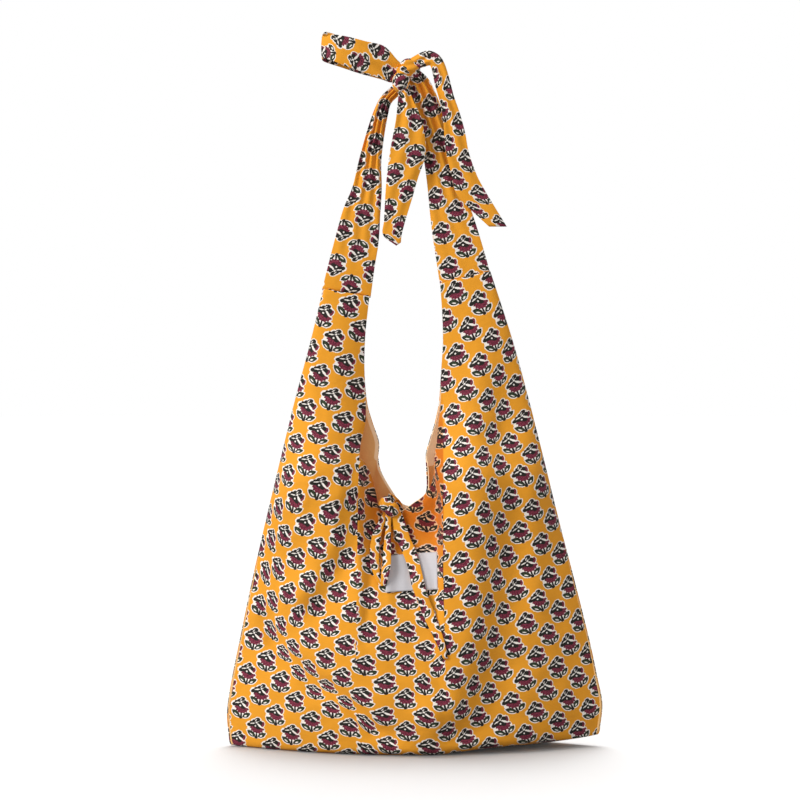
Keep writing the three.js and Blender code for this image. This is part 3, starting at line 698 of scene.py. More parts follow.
def print_place(points, across, up, grain, taken):
    """The print's own place: the flat place turned about the held point by a lean that grows
    with height, shifted apart on both sides of each path where a fold takes cloth up."""
    (hold_x, hold_z), leans, width, heights, start = grain
    share = np.clip(up / GRAIN_HEIGHT, 0, GRAIN_TOP)
    halfway = (share + hold_z / GRAIN_HEIGHT) / 2
    lean = np.radians(mix(*leans, share))
    mean_lean = np.radians(mix(*leans, halfway))
    wide = width * (across - hold_x)
    tall = mix(*heights, halfway) * (up - hold_z)
    u = wide * np.cos(lean) - tall * np.sin(mean_lean)
    v = wide * np.sin(lean) + tall * np.cos(mean_lean)
    place = np.stack([u, v], axis=-1) + start
    for shift, width, fade, path in taken:
        offset, past = beside_path(path, points[..., 0], points[..., 2])[1:]
        side = (2 * ease(-width, width, offset) - 1) * np.exp(-((past / fade) ** 2))
        place = place + side[..., None] * np.array(shift)
    return place


def panel_print(blocks, grain, taken, join, way):
    """Print places of the three blocks. Below the join the middle's print runs on from both
    wings', and above it the print is cut off at the folds. Way turns it over for the back."""
    places = {}
    for name, points in blocks.items():
        across, up = flat_place(points, -1 if name == "left" else 0)
        place = print_place(points, across, up, grain[name], taken[name])
        if name == "middle":
            share = np.linspace(0, 1, points.shape[1])[None, :]
            low = 1 - ease(*join, up)
            run_left = print_place(points, across, up, grain["left"], taken["left"])
            stretch = across[:, [-1]] - points[:, [-1], 0]
            run_right = print_place(points, across - stretch, up, grain["right"], taken["right"])
            place = mix(place, run_left, ((1 - ease(0, 0.5, share)) * low)[..., None])
            place = mix(place, run_right, (ease(0.5, 1, share) * low)[..., None])
        places[name] = place * (way, 1)
    return places


# Meshes
def grid_faces(rows, columns, first):
    """Corners of each square between neighbouring rows and columns."""
    corner = (first + np.arange(rows - 1)[:, None] * columns + np.arange(columns - 1)).ravel()
    return np.stack([corner, corner + 1, corner + columns + 1, corner + columns], axis=1)


def from_mouth(blocks):
    """How far each point of a panel's blocks is from its free edge: down each column of the
    middle, along each row of a wing above the fork, and from the fork's corner below it."""
    far = []
    for name, points in blocks.items():
        edge = points if name == "middle" else points.swapaxes(0, 1)
        edge = edge[::-1] if name != "right" else edge
        reach = lengths(np.linalg.norm(np.diff(edge, axis=0), axis=-1))
        if name == "middle":
            far.append(reach[::-1])
            continue
        reach = (reach[::-1] if name == "left" else reach).T
        fork = FLOOR_STEPS + BOTTOM_STEPS + WALL_STEPS
        corner = points[fork, -1 if name == "left" else 0]
        reach[:fork] = np.linalg.norm(points[:fork] - corner, axis=-1)
        far.append(reach)
    return [np.stack([reach, np.zeros_like(reach)], axis=-1) for reach in far]


def raised_edge(blocks, rise):
    """The blocks with the middle's free edge raised along its columns, less near the forks."""
    middle = blocks["middle"].copy()
    way = middle[-1] - middle[-2]
    way /= np.linalg.norm(way, axis=-1, keepdims=True)
    share = np.linspace(0, 1, len(way))
    middle[-1] += way * (rise * ease(0, HEM_FADE, share) * ease(0, HEM_FADE, 1 - share))[:, None]
    return {**blocks, "middle": middle}


def add_map(mesh, name, flat, corners):
    """A UV map in metres from places in millimetres at the corners' grid points."""
    flat = np.concatenate([place.reshape(-1, 2) for place in flat]) * MM
    layer = mesh.uv_layers.new(name=name)
    layer.data.foreach_set("uv", flat[corners].astype(np.float32).ravel())


def cloth_mesh(node, blocks, places, outward=None, edge=None):
    """One welded mesh from grids of points in millimetres, with the print's place as its UV
    map, and how far it is to the free edge as another where that is given. Its normals point
    along outward, or out of the closed shell where that is None."""
    points = np.concatenate([block.reshape(-1, 3) for block in blocks]) * MM
    faces = []
    first = 0
    for block in blocks:
        rows, columns = block.shape[:2]
        faces.append(grid_faces(rows, columns, first))
        first += rows * columns
    faces = np.concatenate(faces)
    mesh = bpy.data.meshes.new(f"{node}_cloth")
    mesh.from_pydata(points, [], faces)
    add_map(mesh, "print", places, faces.ravel())
    if edge is not None:
        add_map(mesh, "edge", edge, faces.ravel())
    shell = bmesh.new()
    shell.from_mesh(mesh)
    bmesh.ops.remove_doubles(shell, verts=shell.verts, dist=WELD)
    bmesh.ops.recalc_face_normals(shell, faces=shell.faces)
    if outward is not None:
        lean = sum((face.normal * face.calc_area() for face in shell.faces), Vector())
        if lean.dot(Vector(outward)) < 0:
            bmesh.ops.reverse_faces(shell, faces=shell.faces)
    shell.to_mesh(mesh)
    shell.free()
    mesh.polygons.foreach_set("use_smooth", np.ones(len(mesh.polygons), bool))
    mesh.update()
    return mesh


def new_object(name, data):
    """An object with its data, in the scene."""
    thing = bpy.data.objects.new(name, data)
    bpy.context.scene.collection.objects.link(thing)
    return thing


def new_piece(mesh, node, finish):
    """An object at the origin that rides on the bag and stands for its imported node."""
    piece = new_object(mesh.name, mesh)
    mesh.materials.append(finish_named(finish))
    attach(piece, BODY_NAME)
    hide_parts(node)
    return piece


def thicken(piece, thick):
    """Gives a sheet its thickness, inwards from its outer face."""
    solid = piece.modifiers.new("thickness", "SOLIDIFY")
    solid.thickness = thick * MM
    solid.offset = -1


def read_rows(items, key):
    """One property of a mesh's points, three numbers each, as an array with a row for each."""
    values = np.empty(len(items) * 3, np.float32)
    items.foreach_get(key, values)
    return values.reshape(-1, 3)


def inset(mesh, depth):
    """Moves a sheet in along its normals. On the seam plane it moves within that plane."""
    place = read_rows(mesh.vertices, "co")
    normal = read_rows(mesh.vertex_normals, "vector")
    normal[np.abs(place[:, 1]) < SEAM_GAP * MM, 1] = 0
    normal /= np.maximum(np.linalg.norm(normal, axis=1, keepdims=True), 1e-6)
    mesh.vertices.foreach_set("co", (place - normal * depth * MM).ravel())
    mesh.update()


# A band's section: how much its sides flatten towards its edges and how square they are there,
# how far its pleats run slanting, and how much of its gathering squeezes the print
BAND = {"flatten": 0.6, "flatten_power": 4, "round_power": 0.6, "slant": 9, "squeeze": 0.25}


def band_grid(rows, along, around, print_width, pleats=3, upside=1, start=(0, 0)):
    """A flattened tube carried along a band. Round the tube, the place across runs there and
    back, and each side stands off by half the thickness, less towards the two edges. Pleats
    are waves across the band, deeper where it is gathered. Both ends are pressed shut. The
    print is squeezed across by some of the gathering, from its start on the middle line."""
    count = len(rows["ax"])
    track = dict(rows, at=np.linspace(0, 1, count))
    at = np.linspace(0, 1, along + 1)
    turn = np.linspace(0, 2 * np.pi, around + 1)
    across = (1 - np.cos(turn)) / 2

    def edge(key):
        column = key if key in track else key[1]
        return curve(track, column, "at")(at)

    a = np.stack([edge("ax"), edge("ay"), edge("az")], axis=-1)[:, None]
    b = np.stack([edge("bx"), edge("by"), edge("bz")], axis=-1)[:, None]
    middle = mix(a, b, across[None, :, None])
    forward = np.gradient((a + b)[:, 0] / 2, axis=0)[:, None]
    normal = np.cross(np.broadcast_to(forward, middle.shape), np.broadcast_to(b - a, middle.shape))
    normal /= np.linalg.norm(normal, axis=-1, keepdims=True)
    thick = edge("thick")[:, None]
    shut = np.minimum(1, np.minimum(at, 1 - at)[:, None] * along)
    flatten = 1 - BAND["flatten"] * np.abs(2 * across - 1) ** BAND["flatten_power"]
    stand = thick / 2 * flatten * np.abs(np.sin(turn)) ** BAND["round_power"] * shut
    fold = edge("pleat")[:, None] * np.sin(2 * np.pi * pleats * across + BAND["slant"] * at[:, None])
    offset = stand * np.sign(np.sin(turn)) + fold
    points = middle + normal * offset[..., None]
    length = lengths(np.linalg.norm(np.diff((a + b)[:, 0] / 2, axis=0), axis=1))
    cloth_width = mix(np.linalg.norm(b - a, axis=-1), print_width, BAND["squeeze"])
    beside = np.where(turn <= np.pi, across - 0.5, 0.5 - across) * cloth_width
    up = np.broadcast_to(upside * length[:, None], beside.shape)
    place = np.stack([start[0] - upside * beside, start[1] + up], axis=-1)
    return points, place


# Materials
def feed(tree, sockets, values):
    """Sets each socket to its value, or links it where that is another node's output."""
    for socket, value in zip(sockets, values):
        if isinstance(value, bpy.types.NodeSocket):
            tree.links.new(value, socket)
        elif socket.type == "RGBA":
            socket.default_value = (*value, 1)
        else:
            socket.default_value = value


def link(tree, source, target):
    tree.links.new(source, target)


def maths(tree, operation, *values, clamp=False):
    """A Math node's output, from numbers or other nodes' outputs."""
    node = tree.nodes.new("ShaderNodeMath")
    node.operation = operation
    node.use_clamp = clamp
    feed(tree, node.inputs, values)
    return node.outputs[0]


def vector_maths(tree, operation, *values):
    """A Vector Math node's output: a length or distance, or else a vector."""
    node = tree.nodes.new("ShaderNodeVectorMath")
    node.operation = operation
    feed(tree, node.inputs, values)
    return node.outputs["Value" if operation in ("LENGTH", "DISTANCE") else "Vector"]


def mapped(tree, vector, kind="POINT", place=(0, 0, 0), turn=0, scale=(1, 1, 1)):
    """A vector moved, turned about Z in degrees and scaled, or the reverse of it for TEXTURE."""
    node = tree.nodes.new("ShaderNodeMapping")
    node.vector_type = kind
    feed(tree, node.inputs, (vector, place, (0, 0, np.radians(turn)), scale))
    return node.outputs["Vector"]


def separated(tree, vector):
    node = tree.nodes.new("ShaderNodeSeparateXYZ")
    link(tree, vector, node.inputs[0])
    return node.outputs


def noise(tree, vector, scale, detail=2, rough=0.5, output="Fac"):
    node = tree.nodes.new("ShaderNodeTexNoise")
    sockets = (node.inputs[key] for key in ("Vector", "Scale", "Detail", "Roughness"))
    feed(tree, sockets, (vector, scale, detail, rough))
    return node.outputs[output]


def blended(tree, factor, a, b, mode="MIX"):
    """A colour Mix node: a and b are colours or other nodes' outputs."""
    node = tree.nodes.new("ShaderNodeMix")
    node.data_type = "RGBA"
    node.blend_type = mode
    feed(tree, (node.inputs[0], node.inputs[6], node.inputs[7]), (factor, a, b))
    return node.outputs[2]


def new_group(name, outputs, **inputs):
    """An empty shader node group: its tree and its inner ends. Each input is given by its name,
    with _ for a space, as a number, a colour, or None for a vector."""
    group = bpy.data.node_groups.new(name, "ShaderNodeTree")
    for key, default in inputs.items():
        kind = {type(None): "Vector", tuple: "Color", float: "Float"}[type(default)]
        label = key.replace("_", " ")
        socket = group.interface.new_socket(name=label, in_out="INPUT", socket_type=f"NodeSocket{kind}")
        if default is not None:
            socket.default_value = default
    for label in outputs:
        kind = "Color" if label == "Color" else "Float"
        group.interface.new_socket(name=label, in_out="OUTPUT", socket_type=f"NodeSocket{kind}")
    return group, group.nodes.new("NodeGroupInput").outputs, group.nodes.new("NodeGroupOutput").inputs


def place_group(tree, group, **values):
    """A group node with its inputs set or linked, by socket name with _ for a space."""
    node = tree.nodes.new("ShaderNodeGroup")
    node.node_tree = group
    feed(tree, (node.inputs[key.replace("_", " ")] for key in values), values.values())
    return node.outputs


# The sprig in its cell, in millimetres from the cell's middle: ovals of each ink
DARK_OVALS = table("""
x y rx ry turn
1.1 -8.6 1.1 3.4 6
0.9 -10.8 1.9 1.7 20
0.9 10.0 2.9 2.2 20
-2.9 7.4 2.5 2.0 35
-6.2 5.8 1.9 1.3 20
-7.4 2.8 3.4 2.2 20
-3.4 2.8 3.4 1.4 25
-0.8 2.6 3.2 2.7 0
-0.4 5.4 1.1 2.6 -30
2.2 6.6 2.8 1.0 10
4.2 6.6 2.2 2.5 10
1.6 0.9 3.2 1.9 -18
""")
WHITE_OVALS = table("""
x y rx ry turn
-1.1 2.2 0.9 0.9 0
-0.1 6.3 1.1 0.8 30
3.3 3.6 3.2 1.0 -32
6.4 1.7 2.2 0.7 -10
-4.8 4.7 2.4 0.5 20
-0.9 8.8 0.4 1.7 -35
-4.9 -8.2 2.2 0.6 -31
6.3 -8.1 1.7 0.8 33
""")
LEAVES = table("""
x y length width turn
-4.9 -7.3 6.0 2.8 -32
6.9 -7.1 5.2 2.6 34
""")
PATCH_OVALS = table("""
x y rx ry turn
-0.2 1.4 8.4 7.0 0
1.0 9.4 4.1 3.6 20
-3.2 7.6 4.0 2.8 35
-7.6 3.2 4.5 3.5 20
5.4 5.8 3.9 4.2 0
0.6 -5.6 6.6 3.6 0
1.2 -9.6 2.2 2.8 0
-7.4 -2.0 2.8 4.0 0
7.6 -1.6 2.2 4.0 0
""")
FAN = {"x": 0.9, "y": 1.9, "radius": 8.1, "serrations": 15, "serration": 0.6}
BUD = {"x": 6.5, "y": 5.4, "rx": 2.0, "ry": 3.2, "turn": -12}
LEAF_MARGIN = 0.9
REPEAT = 38.6

# The inks: how far their edges wander, how fine their flecks are and how far these eat into the
# patch's edge, up to which noise they show in the flower and in the leaves inside their rim, how
# soft the edges of inks, patch and flecks are, and how much lighter the flecks are
WANDER = {"scale": 320, "reach": 0.0009}
FLECK = {"scale": 900, "edge": 1.8, "flower": 0.5, "leaf": 0.53}
LEAF_RIM = 1.05
SOFT = {"ink": 0.11, "patch": 0.2, "fleck": 0.1}
FLOWER_LIGHT = (4.2, 5.0, 3.9)
LEAF_LIGHT = (2.2, 5.0, 2.4)


def oval_distance(tree, point, x, y, rx, ry, turn):
    """Distance in millimetres to an oval's edge, less than zero inside it."""
    local = mapped(tree, point, "TEXTURE", (x, y, 0), turn, (rx, ry, 1))
    reach = min(rx, ry)
    return maths(tree, "MULTIPLY_ADD", vector_maths(tree, "LENGTH", local), reach, -reach)


def leaf_distance(tree, point, x, y, length, width, turn):
    """Distance to a pointed leaf: the overlap of two discs whose middles lie to its sides."""
    local = mapped(tree, point, "TEXTURE", (x, y, 0), turn)
    radius = (length**2 + width**2) / (2 * width)
    above = vector_maths(tree, "DISTANCE", local, (0, radius - width, 0))
    below = vector_maths(tree, "DISTANCE", local, (0, width - radius, 0))
    return maths(tree, "SUBTRACT", maths(tree, "MAXIMUM", above, below), radius)


def fan_distance(tree, point):
    """Distance to the flower: the lower half of a disc with a saw-toothed rim."""
    local = mapped(tree, point, "TEXTURE", (FAN["x"], FAN["y"], 0))
    parts = separated(tree, local)
    angle = maths(tree, "ARCTAN2", parts["Y"], parts["X"])
    teeth = maths(tree, "SINE", maths(tree, "MULTIPLY", angle, FAN["serrations"]))
    rim = maths(tree, "MULTIPLY_ADD", teeth, FAN["serration"], FAN["radius"])
    disc = maths(tree, "SUBTRACT", vector_maths(tree, "LENGTH", local), rim)
    return maths(tree, "MAXIMUM", disc, parts["Y"])


def nearest(tree, distances):
    """The least of several distances, which is the distance to all their shapes together."""
    result = distances[0]
    for other in distances[1:]:
        result = maths(tree, "MINIMUM", result, other)
    return result


def inked(tree, distance, reach=0.0, edge=SOFT["ink"]):
    """A mask of 1 where the distance is under reach, with an edge as soft as printed ink."""
    slope = -1 / (2 * edge)
    return maths(tree, "MULTIPLY_ADD", distance, slope, 0.5 - slope * reach, clamp=True)


def sprig_print():
    """Half-drop repeat of a flower sprig on a plain ground, at real size on a UV in metres."""
    inks = dict.fromkeys(("Ground", "Patch", "Leaf", "Flower"), (1.0, 1.0, 1.0, 1.0))
    tree, start, end = new_group("sprig print", ("Color", "Ink"), Place=None, **inks)
    side = REPEAT * MM / np.sqrt(2)
    size = side / MM
    middle = (0.5, 0.5, 0)
    wander = noise(tree, start["Place"], WANDER["scale"], 1, output="Color")
    wander = vector_maths(tree, "SUBTRACT", wander, (0.5, 0.5, 0.5))
    wander = vector_maths(tree, "MULTIPLY", wander, (WANDER["reach"], WANDER["reach"], 0))
    place = vector_maths(tree, "ADD", start["Place"], wander)
    lattice = mapped(tree, place, turn=45, scale=(1 / side, 1 / side, 0))
    cell = vector_maths(tree, "FRACTION", vector_maths(tree, "ADD", lattice, middle))
    cell = vector_maths(tree, "SUBTRACT", cell, middle)
    # The lattice is turned before it is scaled, so the cell is scaled before it is turned back
    point = mapped(tree, cell, turn=-45, scale=(size, size, 0))

    def shapes(distance, rows):
        return [distance(tree, point, *row) for row in zip(*rows.values())]

    dark_edge = nearest(tree, shapes(oval_distance, DARK_OVALS))
    leaf_edge = nearest(tree, shapes(leaf_distance, LEAVES))
    flower_edge = nearest(tree, [fan_distance(tree, point), oval_distance(tree, point, *BUD.values())])
    margin = maths(tree, "SUBTRACT", leaf_edge, LEAF_MARGIN)
    whole = nearest(tree, [*shapes(oval_distance, PATCH_OVALS), margin])
    fleck = noise(tree, start["Place"], FLECK["scale"])
    fleck_edge = maths(tree, "MULTIPLY_ADD", fleck, FLECK["edge"], -FLECK["edge"] / 2)
    patch = inked(tree, maths(tree, "ADD", whole, fleck_edge), 0.0, SOFT["patch"])
    color = blended(tree, patch, start["Ground"], start["Patch"])
    flower_light = blended(tree, 1.0, start["Flower"], FLOWER_LIGHT, "MULTIPLY")
    flecks = inked(tree, fleck, FLECK["flower"], SOFT["fleck"])
    flower = blended(tree, flecks, start["Flower"], flower_light)
    flower_mask = inked(tree, flower_edge)
    leaf_mask = maths(tree, "MAXIMUM", inked(tree, dark_edge), inked(tree, leaf_edge))
    green = blended(tree, 1.0, start["Leaf"], LEAF_LIGHT, "MULTIPLY")
    flecks = inked(tree, fleck, FLECK["leaf"], SOFT["fleck"])
    inner = maths(tree, "MULTIPLY", inked(tree, leaf_edge, -LEAF_RIM), flecks)
    leaf = blended(tree, inner, start["Leaf"], green)
    color = blended(tree, flower_mask, color, flower)
    color = blended(tree, leaf_mask, color, leaf)
    white_mask = inked(tree, nearest(tree, shapes(oval_distance, WHITE_OVALS)))
    color = blended(tree, white_mask, color, start["Patch"])
    link(tree, color, end["Color"])
    link(tree, maths(tree, "MAXIMUM", flower_mask, leaf_mask), end["Ink"])
    return tree


# The weave's height from its threads' crossings and crowns, and its shade from height and slubs
WEAVE = {"over": 0.35, "crown": 0.3, "slubs": (40, 900, 1), "shade": 0.1, "slub_shade": 0.08}

# Crumples: noise scales a metre, broad and fine, the fine ones' share, and the dye's evenness
HANDLED = {"broad": 26, "fine": 110, "share": 0.22, "dye": 12, "unevenness": 0.16}

# The lining's hem: how wide it is, how much wider for each metre of x, which paints light on the bag's
# right, and its edge's sharpness
HEM = {"width": 0.004, "painted_light_widening": 0.45, "sharpness": 2500.0}

# Where painted shade darkens the sunk middle behind the mouth tie: bands of x and z in metres with their
# soft ends
PAINTED_SHADE_PLACE = {"x": (-0.062, -0.04, 0.029, 0.0305), "z": (0.165, 0.24, 0.34, 0.38)}

# How rough bare cloth and inked cloth are, the painted shade of the hollow and the tone of the hem, paler
# and with painted light, over the rest, and how strongly the lining and its hem glow as painted light
ROUGH = {"bare": 0.86, "inked": 0.78}
PAINTED_SHADE_TONE = (0.78, 0.48, 0.28)
PALE_HEM_AND_PAINTED_LIGHT = (1.05, 1.3, 2.1)
PAINTED_LINING_GLOW = 0.07
PAINTED_HEM_GLOW = 0.175


def plain_weave():
    """Threads over and under each other: two squared sine waves across the UV, one taking turns
    with the other, and slubs where a thread is thicker."""
    tree, start, end = new_group("plain weave", ("Height", "Shade"), Place=None, Threads=2600.0)
    parts = separated(tree, start["Place"])
    turns = maths(tree, "MULTIPLY", start["Threads"], np.pi)
    warp = maths(tree, "SINE", maths(tree, "MULTIPLY", parts["X"], turns))
    weft = maths(tree, "SINE", maths(tree, "MULTIPLY", parts["Y"], turns))
    over = maths(tree, "MULTIPLY", warp, weft)
    crown = maths(tree, "ADD", maths(tree, "MULTIPLY", warp, warp), maths(tree, "MULTIPLY", weft, weft))
    crown = maths(tree, "MULTIPLY", crown, WEAVE["crown"])
    height = maths(tree, "MULTIPLY_ADD", over, WEAVE["over"], crown)
    slub = noise(tree, mapped(tree, start["Place"], scale=WEAVE["slubs"]), 1, 1)
    link(tree, maths(tree, "ADD", height, slub), end["Height"])
    shade = maths(tree, "MULTIPLY_ADD", height, WEAVE["shade"], 1 - WEAVE["shade"])
    link(tree, maths(tree, "MULTIPLY_ADD", slub, WEAVE["slub_shade"], shade), end["Shade"])
    return tree


def handled_cloth():
    """Soft crumples left in cloth by handling, as a height, and a faint unevenness of dye."""
    tree, start, end = new_group("handled cloth", ("Height", "Dye"), Object_place=None, Crumple=1.0)
    broad = noise(tree, start["Object place"], HANDLED["broad"], 3, 0.55)
    fine = noise(tree, start["Object place"], HANDLED["fine"])
    height = maths(tree, "MULTIPLY_ADD", fine, HANDLED["share"], broad)
    link(tree, maths(tree, "MULTIPLY", height, start["Crumple"]), end["Height"])
    patchy = noise(tree, start["Object place"], HANDLED["dye"])
    even = 1 - HANDLED["unevenness"] / 2
    link(tree, maths(tree, "MULTIPLY_ADD", patchy, HANDLED["unevenness"], even), end["Dye"])
    return tree


def between(tree, value, low, full, still, end):
    """A mask that eases from 0 at low to 1 at full, stays so up to still and eases to 0 at end."""
    rise = maths(tree, "MULTIPLY_ADD", value, 1 / (full - low), -low / (full - low), clamp=True)
    fall = maths(tree, "MULTIPLY_ADD", value, -1 / (end - still), end / (end - still), clamp=True)
    return maths(tree, "MULTIPLY", rise, fall)


def painted_shade_mask():
    """A mask of painted shade on the sunk middle behind the mouth tie, where light comes only by way of
    other cloth, in the object's own metres: a band of x times a band of z."""
    tree, start, end = new_group("painted shade of the hollow", ("Mask",), Object_place=None, Amount=1.0)
    parts = separated(tree, start["Object place"])
    beside = between(tree, parts["X"], *PAINTED_SHADE_PLACE["x"])
    upright = between(tree, parts["Z"], *PAINTED_SHADE_PLACE["z"])
    mask = maths(tree, "MULTIPLY", maths(tree, "MULTIPLY", beside, upright), start["Amount"])
    link(tree, mask, end["Mask"])
    return tree


def hem_and_painted_light():
    """A mask of the strip of lining turned in along its free edge, by how far the edge is: a paler hem, and
    painted light. The strip is wider by a share of x towards the bag's right, as painted light where light
    falls there."""
    tree, start, end = new_group("hem and painted light", ("Mask",), Edge=None, Object_place=None, Width=HEM["width"])
    far = separated(tree, start["Edge"])["X"]
    right = maths(tree, "MAXIMUM", separated(tree, start["Object place"])["X"], 0.0)
    width = maths(tree, "ADD", start["Width"], maths(tree, "MULTIPLY", right, HEM["painted_light_widening"]))
    over = maths(tree, "SUBTRACT", width, far)
    link(tree, maths(tree, "MULTIPLY", over, HEM["sharpness"], clamp=True), end["Mask"])
    return tree


def bumped(tree, height, distance, strength, normal=None):
    """The normal of a height that is distance deep in metres, over another bump's normal."""
    node = tree.nodes.new("ShaderNodeBump")
    node.inputs["Strength"].default_value = strength
    node.inputs["Distance"].default_value = distance
    link(tree, height, node.inputs["Height"])
    if normal is not None:
        link(tree, normal, node.inputs["Normal"])
    return node.outputs["Normal"]


def woven_cloth(groups, name, rough, sheen, threads, crumple, folds, yarn):
    """A cloth material with the depth and strength of its folds and of its yarn as bump: the
    material, its tree, its shader's inputs, the places it reads, and the tone of its weave."""
    material = bpy.data.materials.new(name)
    material.use_nodes = True
    tree = material.node_tree
    shader = tree.nodes["Principled BSDF"].inputs
    shader["Roughness"].default_value = rough
    shader["Specular IOR Level"].default_value = 0.25
    shader["Sheen Weight"].default_value = sheen
    shader["Sheen Roughness"].default_value = 0.5
    places = tree.nodes.new("ShaderNodeTexCoord").outputs
    weave = place_group(tree, groups["weave"], Place=places["UV"], Threads=threads)
    cloth = place_group(tree, groups["handled"], Object_place=places["Object"], Crumple=crumple)
    crumpled = bumped(tree, cloth["Height"], *folds)
    link(tree, bumped(tree, weave["Height"], *yarn, crumpled), shader["Normal"])
    return material, tree, shader, places, maths(tree, "MULTIPLY", weave["Shade"], cloth["Dye"])


def printed_cotton(groups, colors, name, hollow):
    """Plain weave with the sprig's inks, and painted shade that darkens its colour in the hollow by that
    amount.
    """
    material, tree, shader, places, tone = woven_cloth(
        groups, name, rough=0.85, sheen=0.1, threads=2600.0, crumple=1.0,
        folds=(0.0022, 0.8), yarn=(0.00008, 0.5))
    pattern = place_group(
        tree, groups["print"], Place=places["UV"],
        Ground=colors.ground, Patch=colors.patch, Leaf=colors.leaf, Flower=colors.flower,
    )
    color = blended(tree, 1.0, pattern["Color"], tone, "MULTIPLY")
    # Painted shade: the hollow's mask multiplies the colour by a darker tone
    deep = place_group(tree, groups["hollow"], Object_place=places["Object"], Amount=hollow)
    color = blended(tree, deep["Mask"], color, PAINTED_SHADE_TONE, "MULTIPLY")
    link(tree, color, shader["Base Color"])
    smoother = ROUGH["inked"] - ROUGH["bare"]
    link(tree, maths(tree, "MULTIPLY_ADD", pattern["Ink"], smoother, ROUGH["bare"]), shader["Roughness"])
    return material


def plain_lining(groups, colors):
    """Plain weave with a paler hem that also carries painted light. It glows faintly, as painted light for
    the light that comes through it, and its hem glows more.
    """
    material, tree, shader, places, tone = woven_cloth(
        groups, "plain lining with painted glow", rough=0.9, sheen=0.12, threads=1900.0, crumple=1.0,
        folds=(0.003, 0.8), yarn=(0.0001, 0.6))
    color = blended(tree, 1.0, colors.lining, tone, "MULTIPLY")
    edge = tree.nodes.new("ShaderNodeUVMap")
    edge.uv_map = "edge"
    hem = place_group(tree, groups["hem"], Edge=edge.outputs["UV"], Object_place=places["Object"])
    # Pale hem and painted light: the hem's mask, wider to the right, lightens the colour
    color = blended(tree, hem["Mask"], color, PALE_HEM_AND_PAINTED_LIGHT, "MULTIPLY")
    link(tree, color, shader["Base Color"])
    # Painted light: the lining glows faintly, and its hem more strongly
    faint = blended(tree, 1.0, color, [PAINTED_LINING_GLOW / PAINTED_HEM_GLOW] * 3, "MULTIPLY")
    link(tree, blended(tree, hem["Mask"], faint, color), shader["Emission Color"])
    shader["Emission Strength"].default_value = PAINTED_HEM_GLOW
    return material


def woven_label(groups, colors):
    """Bare tape of a fine weave."""
    material, tree, shader, places, tone = woven_cloth(
        groups, "woven label", rough=0.6, sheen=0.05, threads=3300.0, crumple=0.5,
        folds=(0.001, 0.6), yarn=(0.00008, 0.6))
    link(tree, blended(tree, 1.0, colors.label, tone, "MULTIPLY"), shader["Base Color"])
    return material


FINISHES = {}


def finish_named(name):
    """One of the bag's materials, made with the shared groups on first use."""
    if not FINISHES:
        groups = {
            "print": sprig_print(),
            "weave": plain_weave(),
            "handled": handled_cloth(),
            "hollow": painted_shade_mask(),
            "hem": hem_and_painted_light(),
        }
        colors = bpy.context.scene.tote_finish
        FINISHES["printed_cotton"] = printed_cotton(groups, colors, "printed cotton", 0.0)
        # The front's copy of the printed cotton has painted shade in its hollow
        FINISHES["printed_front_painted_shade"] = printed_cotton(groups, colors, "printed cotton with painted shade", 1.0)
        FINISHES["plain_lining"] = plain_lining(groups, colors)
        FINISHES["woven_label"] = woven_label(groups, colors)
    return FINISHES[name]


# Pieces
def front_surface():
    """A tree of the front panel's outer face, for laying small pieces on it."""
    mesh = bpy.data.objects["panel_front_cloth"].data
    points = read_rows(mesh.vertices, "co").tolist()
    return BVHTree.FromPolygons(points, [tuple(face.vertices) for face in mesh.polygons])


def face_y(surface, x, z):
    """Front to back place of the front face at x and z in millimetres, or None past its edge."""
    hit = surface.ray_cast(Vector((x * MM, -0.3, z * MM)), Vector((0, 1, 0)))
    return None if hit[0] is None else hit[0].y / MM


def laid(surface, rows, along=80):
    """A strand's table made finer, each row a little in front of the face beneath it."""
    track = dict(rows, at=np.linspace(0, 1, len(rows["ax"])))
    at = np.linspace(0, 1, along + 1)
    fine = {key: curve(track, key, "at")(at) for key in rows}
    fronts = []
    for ax, az, bx, bz in zip(fine["ax"], fine["az"], fine["bx"], fine["bz"]):
        spots = [face_y(surface, mix(ax, bx, t), mix(az, bz, t)) for t in (0, 0.5, 1)]
        fronts.append(min([y for y in spots if y is not None] + [TIE_FRONT_Y]))
    fronts = np.array(fronts)
    padded = np.pad(fronts, TIE_EVENED // 2, mode="edge")
    smooth = np.convolve(padded, np.ones(TIE_EVENED) / TIE_EVENED, mode="valid")
    fine["y"] = np.minimum(smooth, fronts + TIE_BEHIND) - fine["above"]
    fine["pleat"] = np.zeros(along + 1)
    return fine


def band_piece(node, rows, width, flat, held, **shape):
    """A sewn band as a closed pressed tube. The flat width and length it is given are not used."""
    points, place = band_grid(rows, print_width=width, **shape)
    piece = new_piece(cloth_mesh(node, [points], [place]), node, "printed_cotton")


def lobe_grid(x, y, z, rx, ry, rz, lean, gathers, depth, start_u, start_v, rings=40, spokes=72):
    """A rounded lobe of knotted cloth: an ellipsoid whose gathers are waves round an axis that
    leans in the plane of the bag, fading out along the axis' own ends."""
    pole = np.linspace(0, np.pi, rings + 1)[:, None]
    spin = np.linspace(0, 2 * np.pi, spokes + 1)[None, :]
    wave = 1 + depth * np.sin(gathers * spin + LOBE_SLANT * pole) * np.sin(pole) ** LOBE_FADE
    local = np.stack(np.broadcast_arrays(
        np.sin(pole) * np.cos(spin) * wave,
        np.sin(pole) * np.sin(spin) * wave,
        np.cos(pole) * np.ones_like(spin),
    ), axis=-1)
    turn = np.radians(lean)
    side = local[..., 0] * np.cos(turn) + local[..., 2] * np.sin(turn)
    up = -local[..., 0] * np.sin(turn) + local[..., 2] * np.cos(turn)
    points = np.stack([x + rx * side, y + ry * local[..., 1], z + rz * up], axis=-1)
    girth = spin * (rx + ry) / 2
    place = np.stack(np.broadcast_arrays(start_u - girth, start_v + pole * rz), axis=-1)
    return points, place


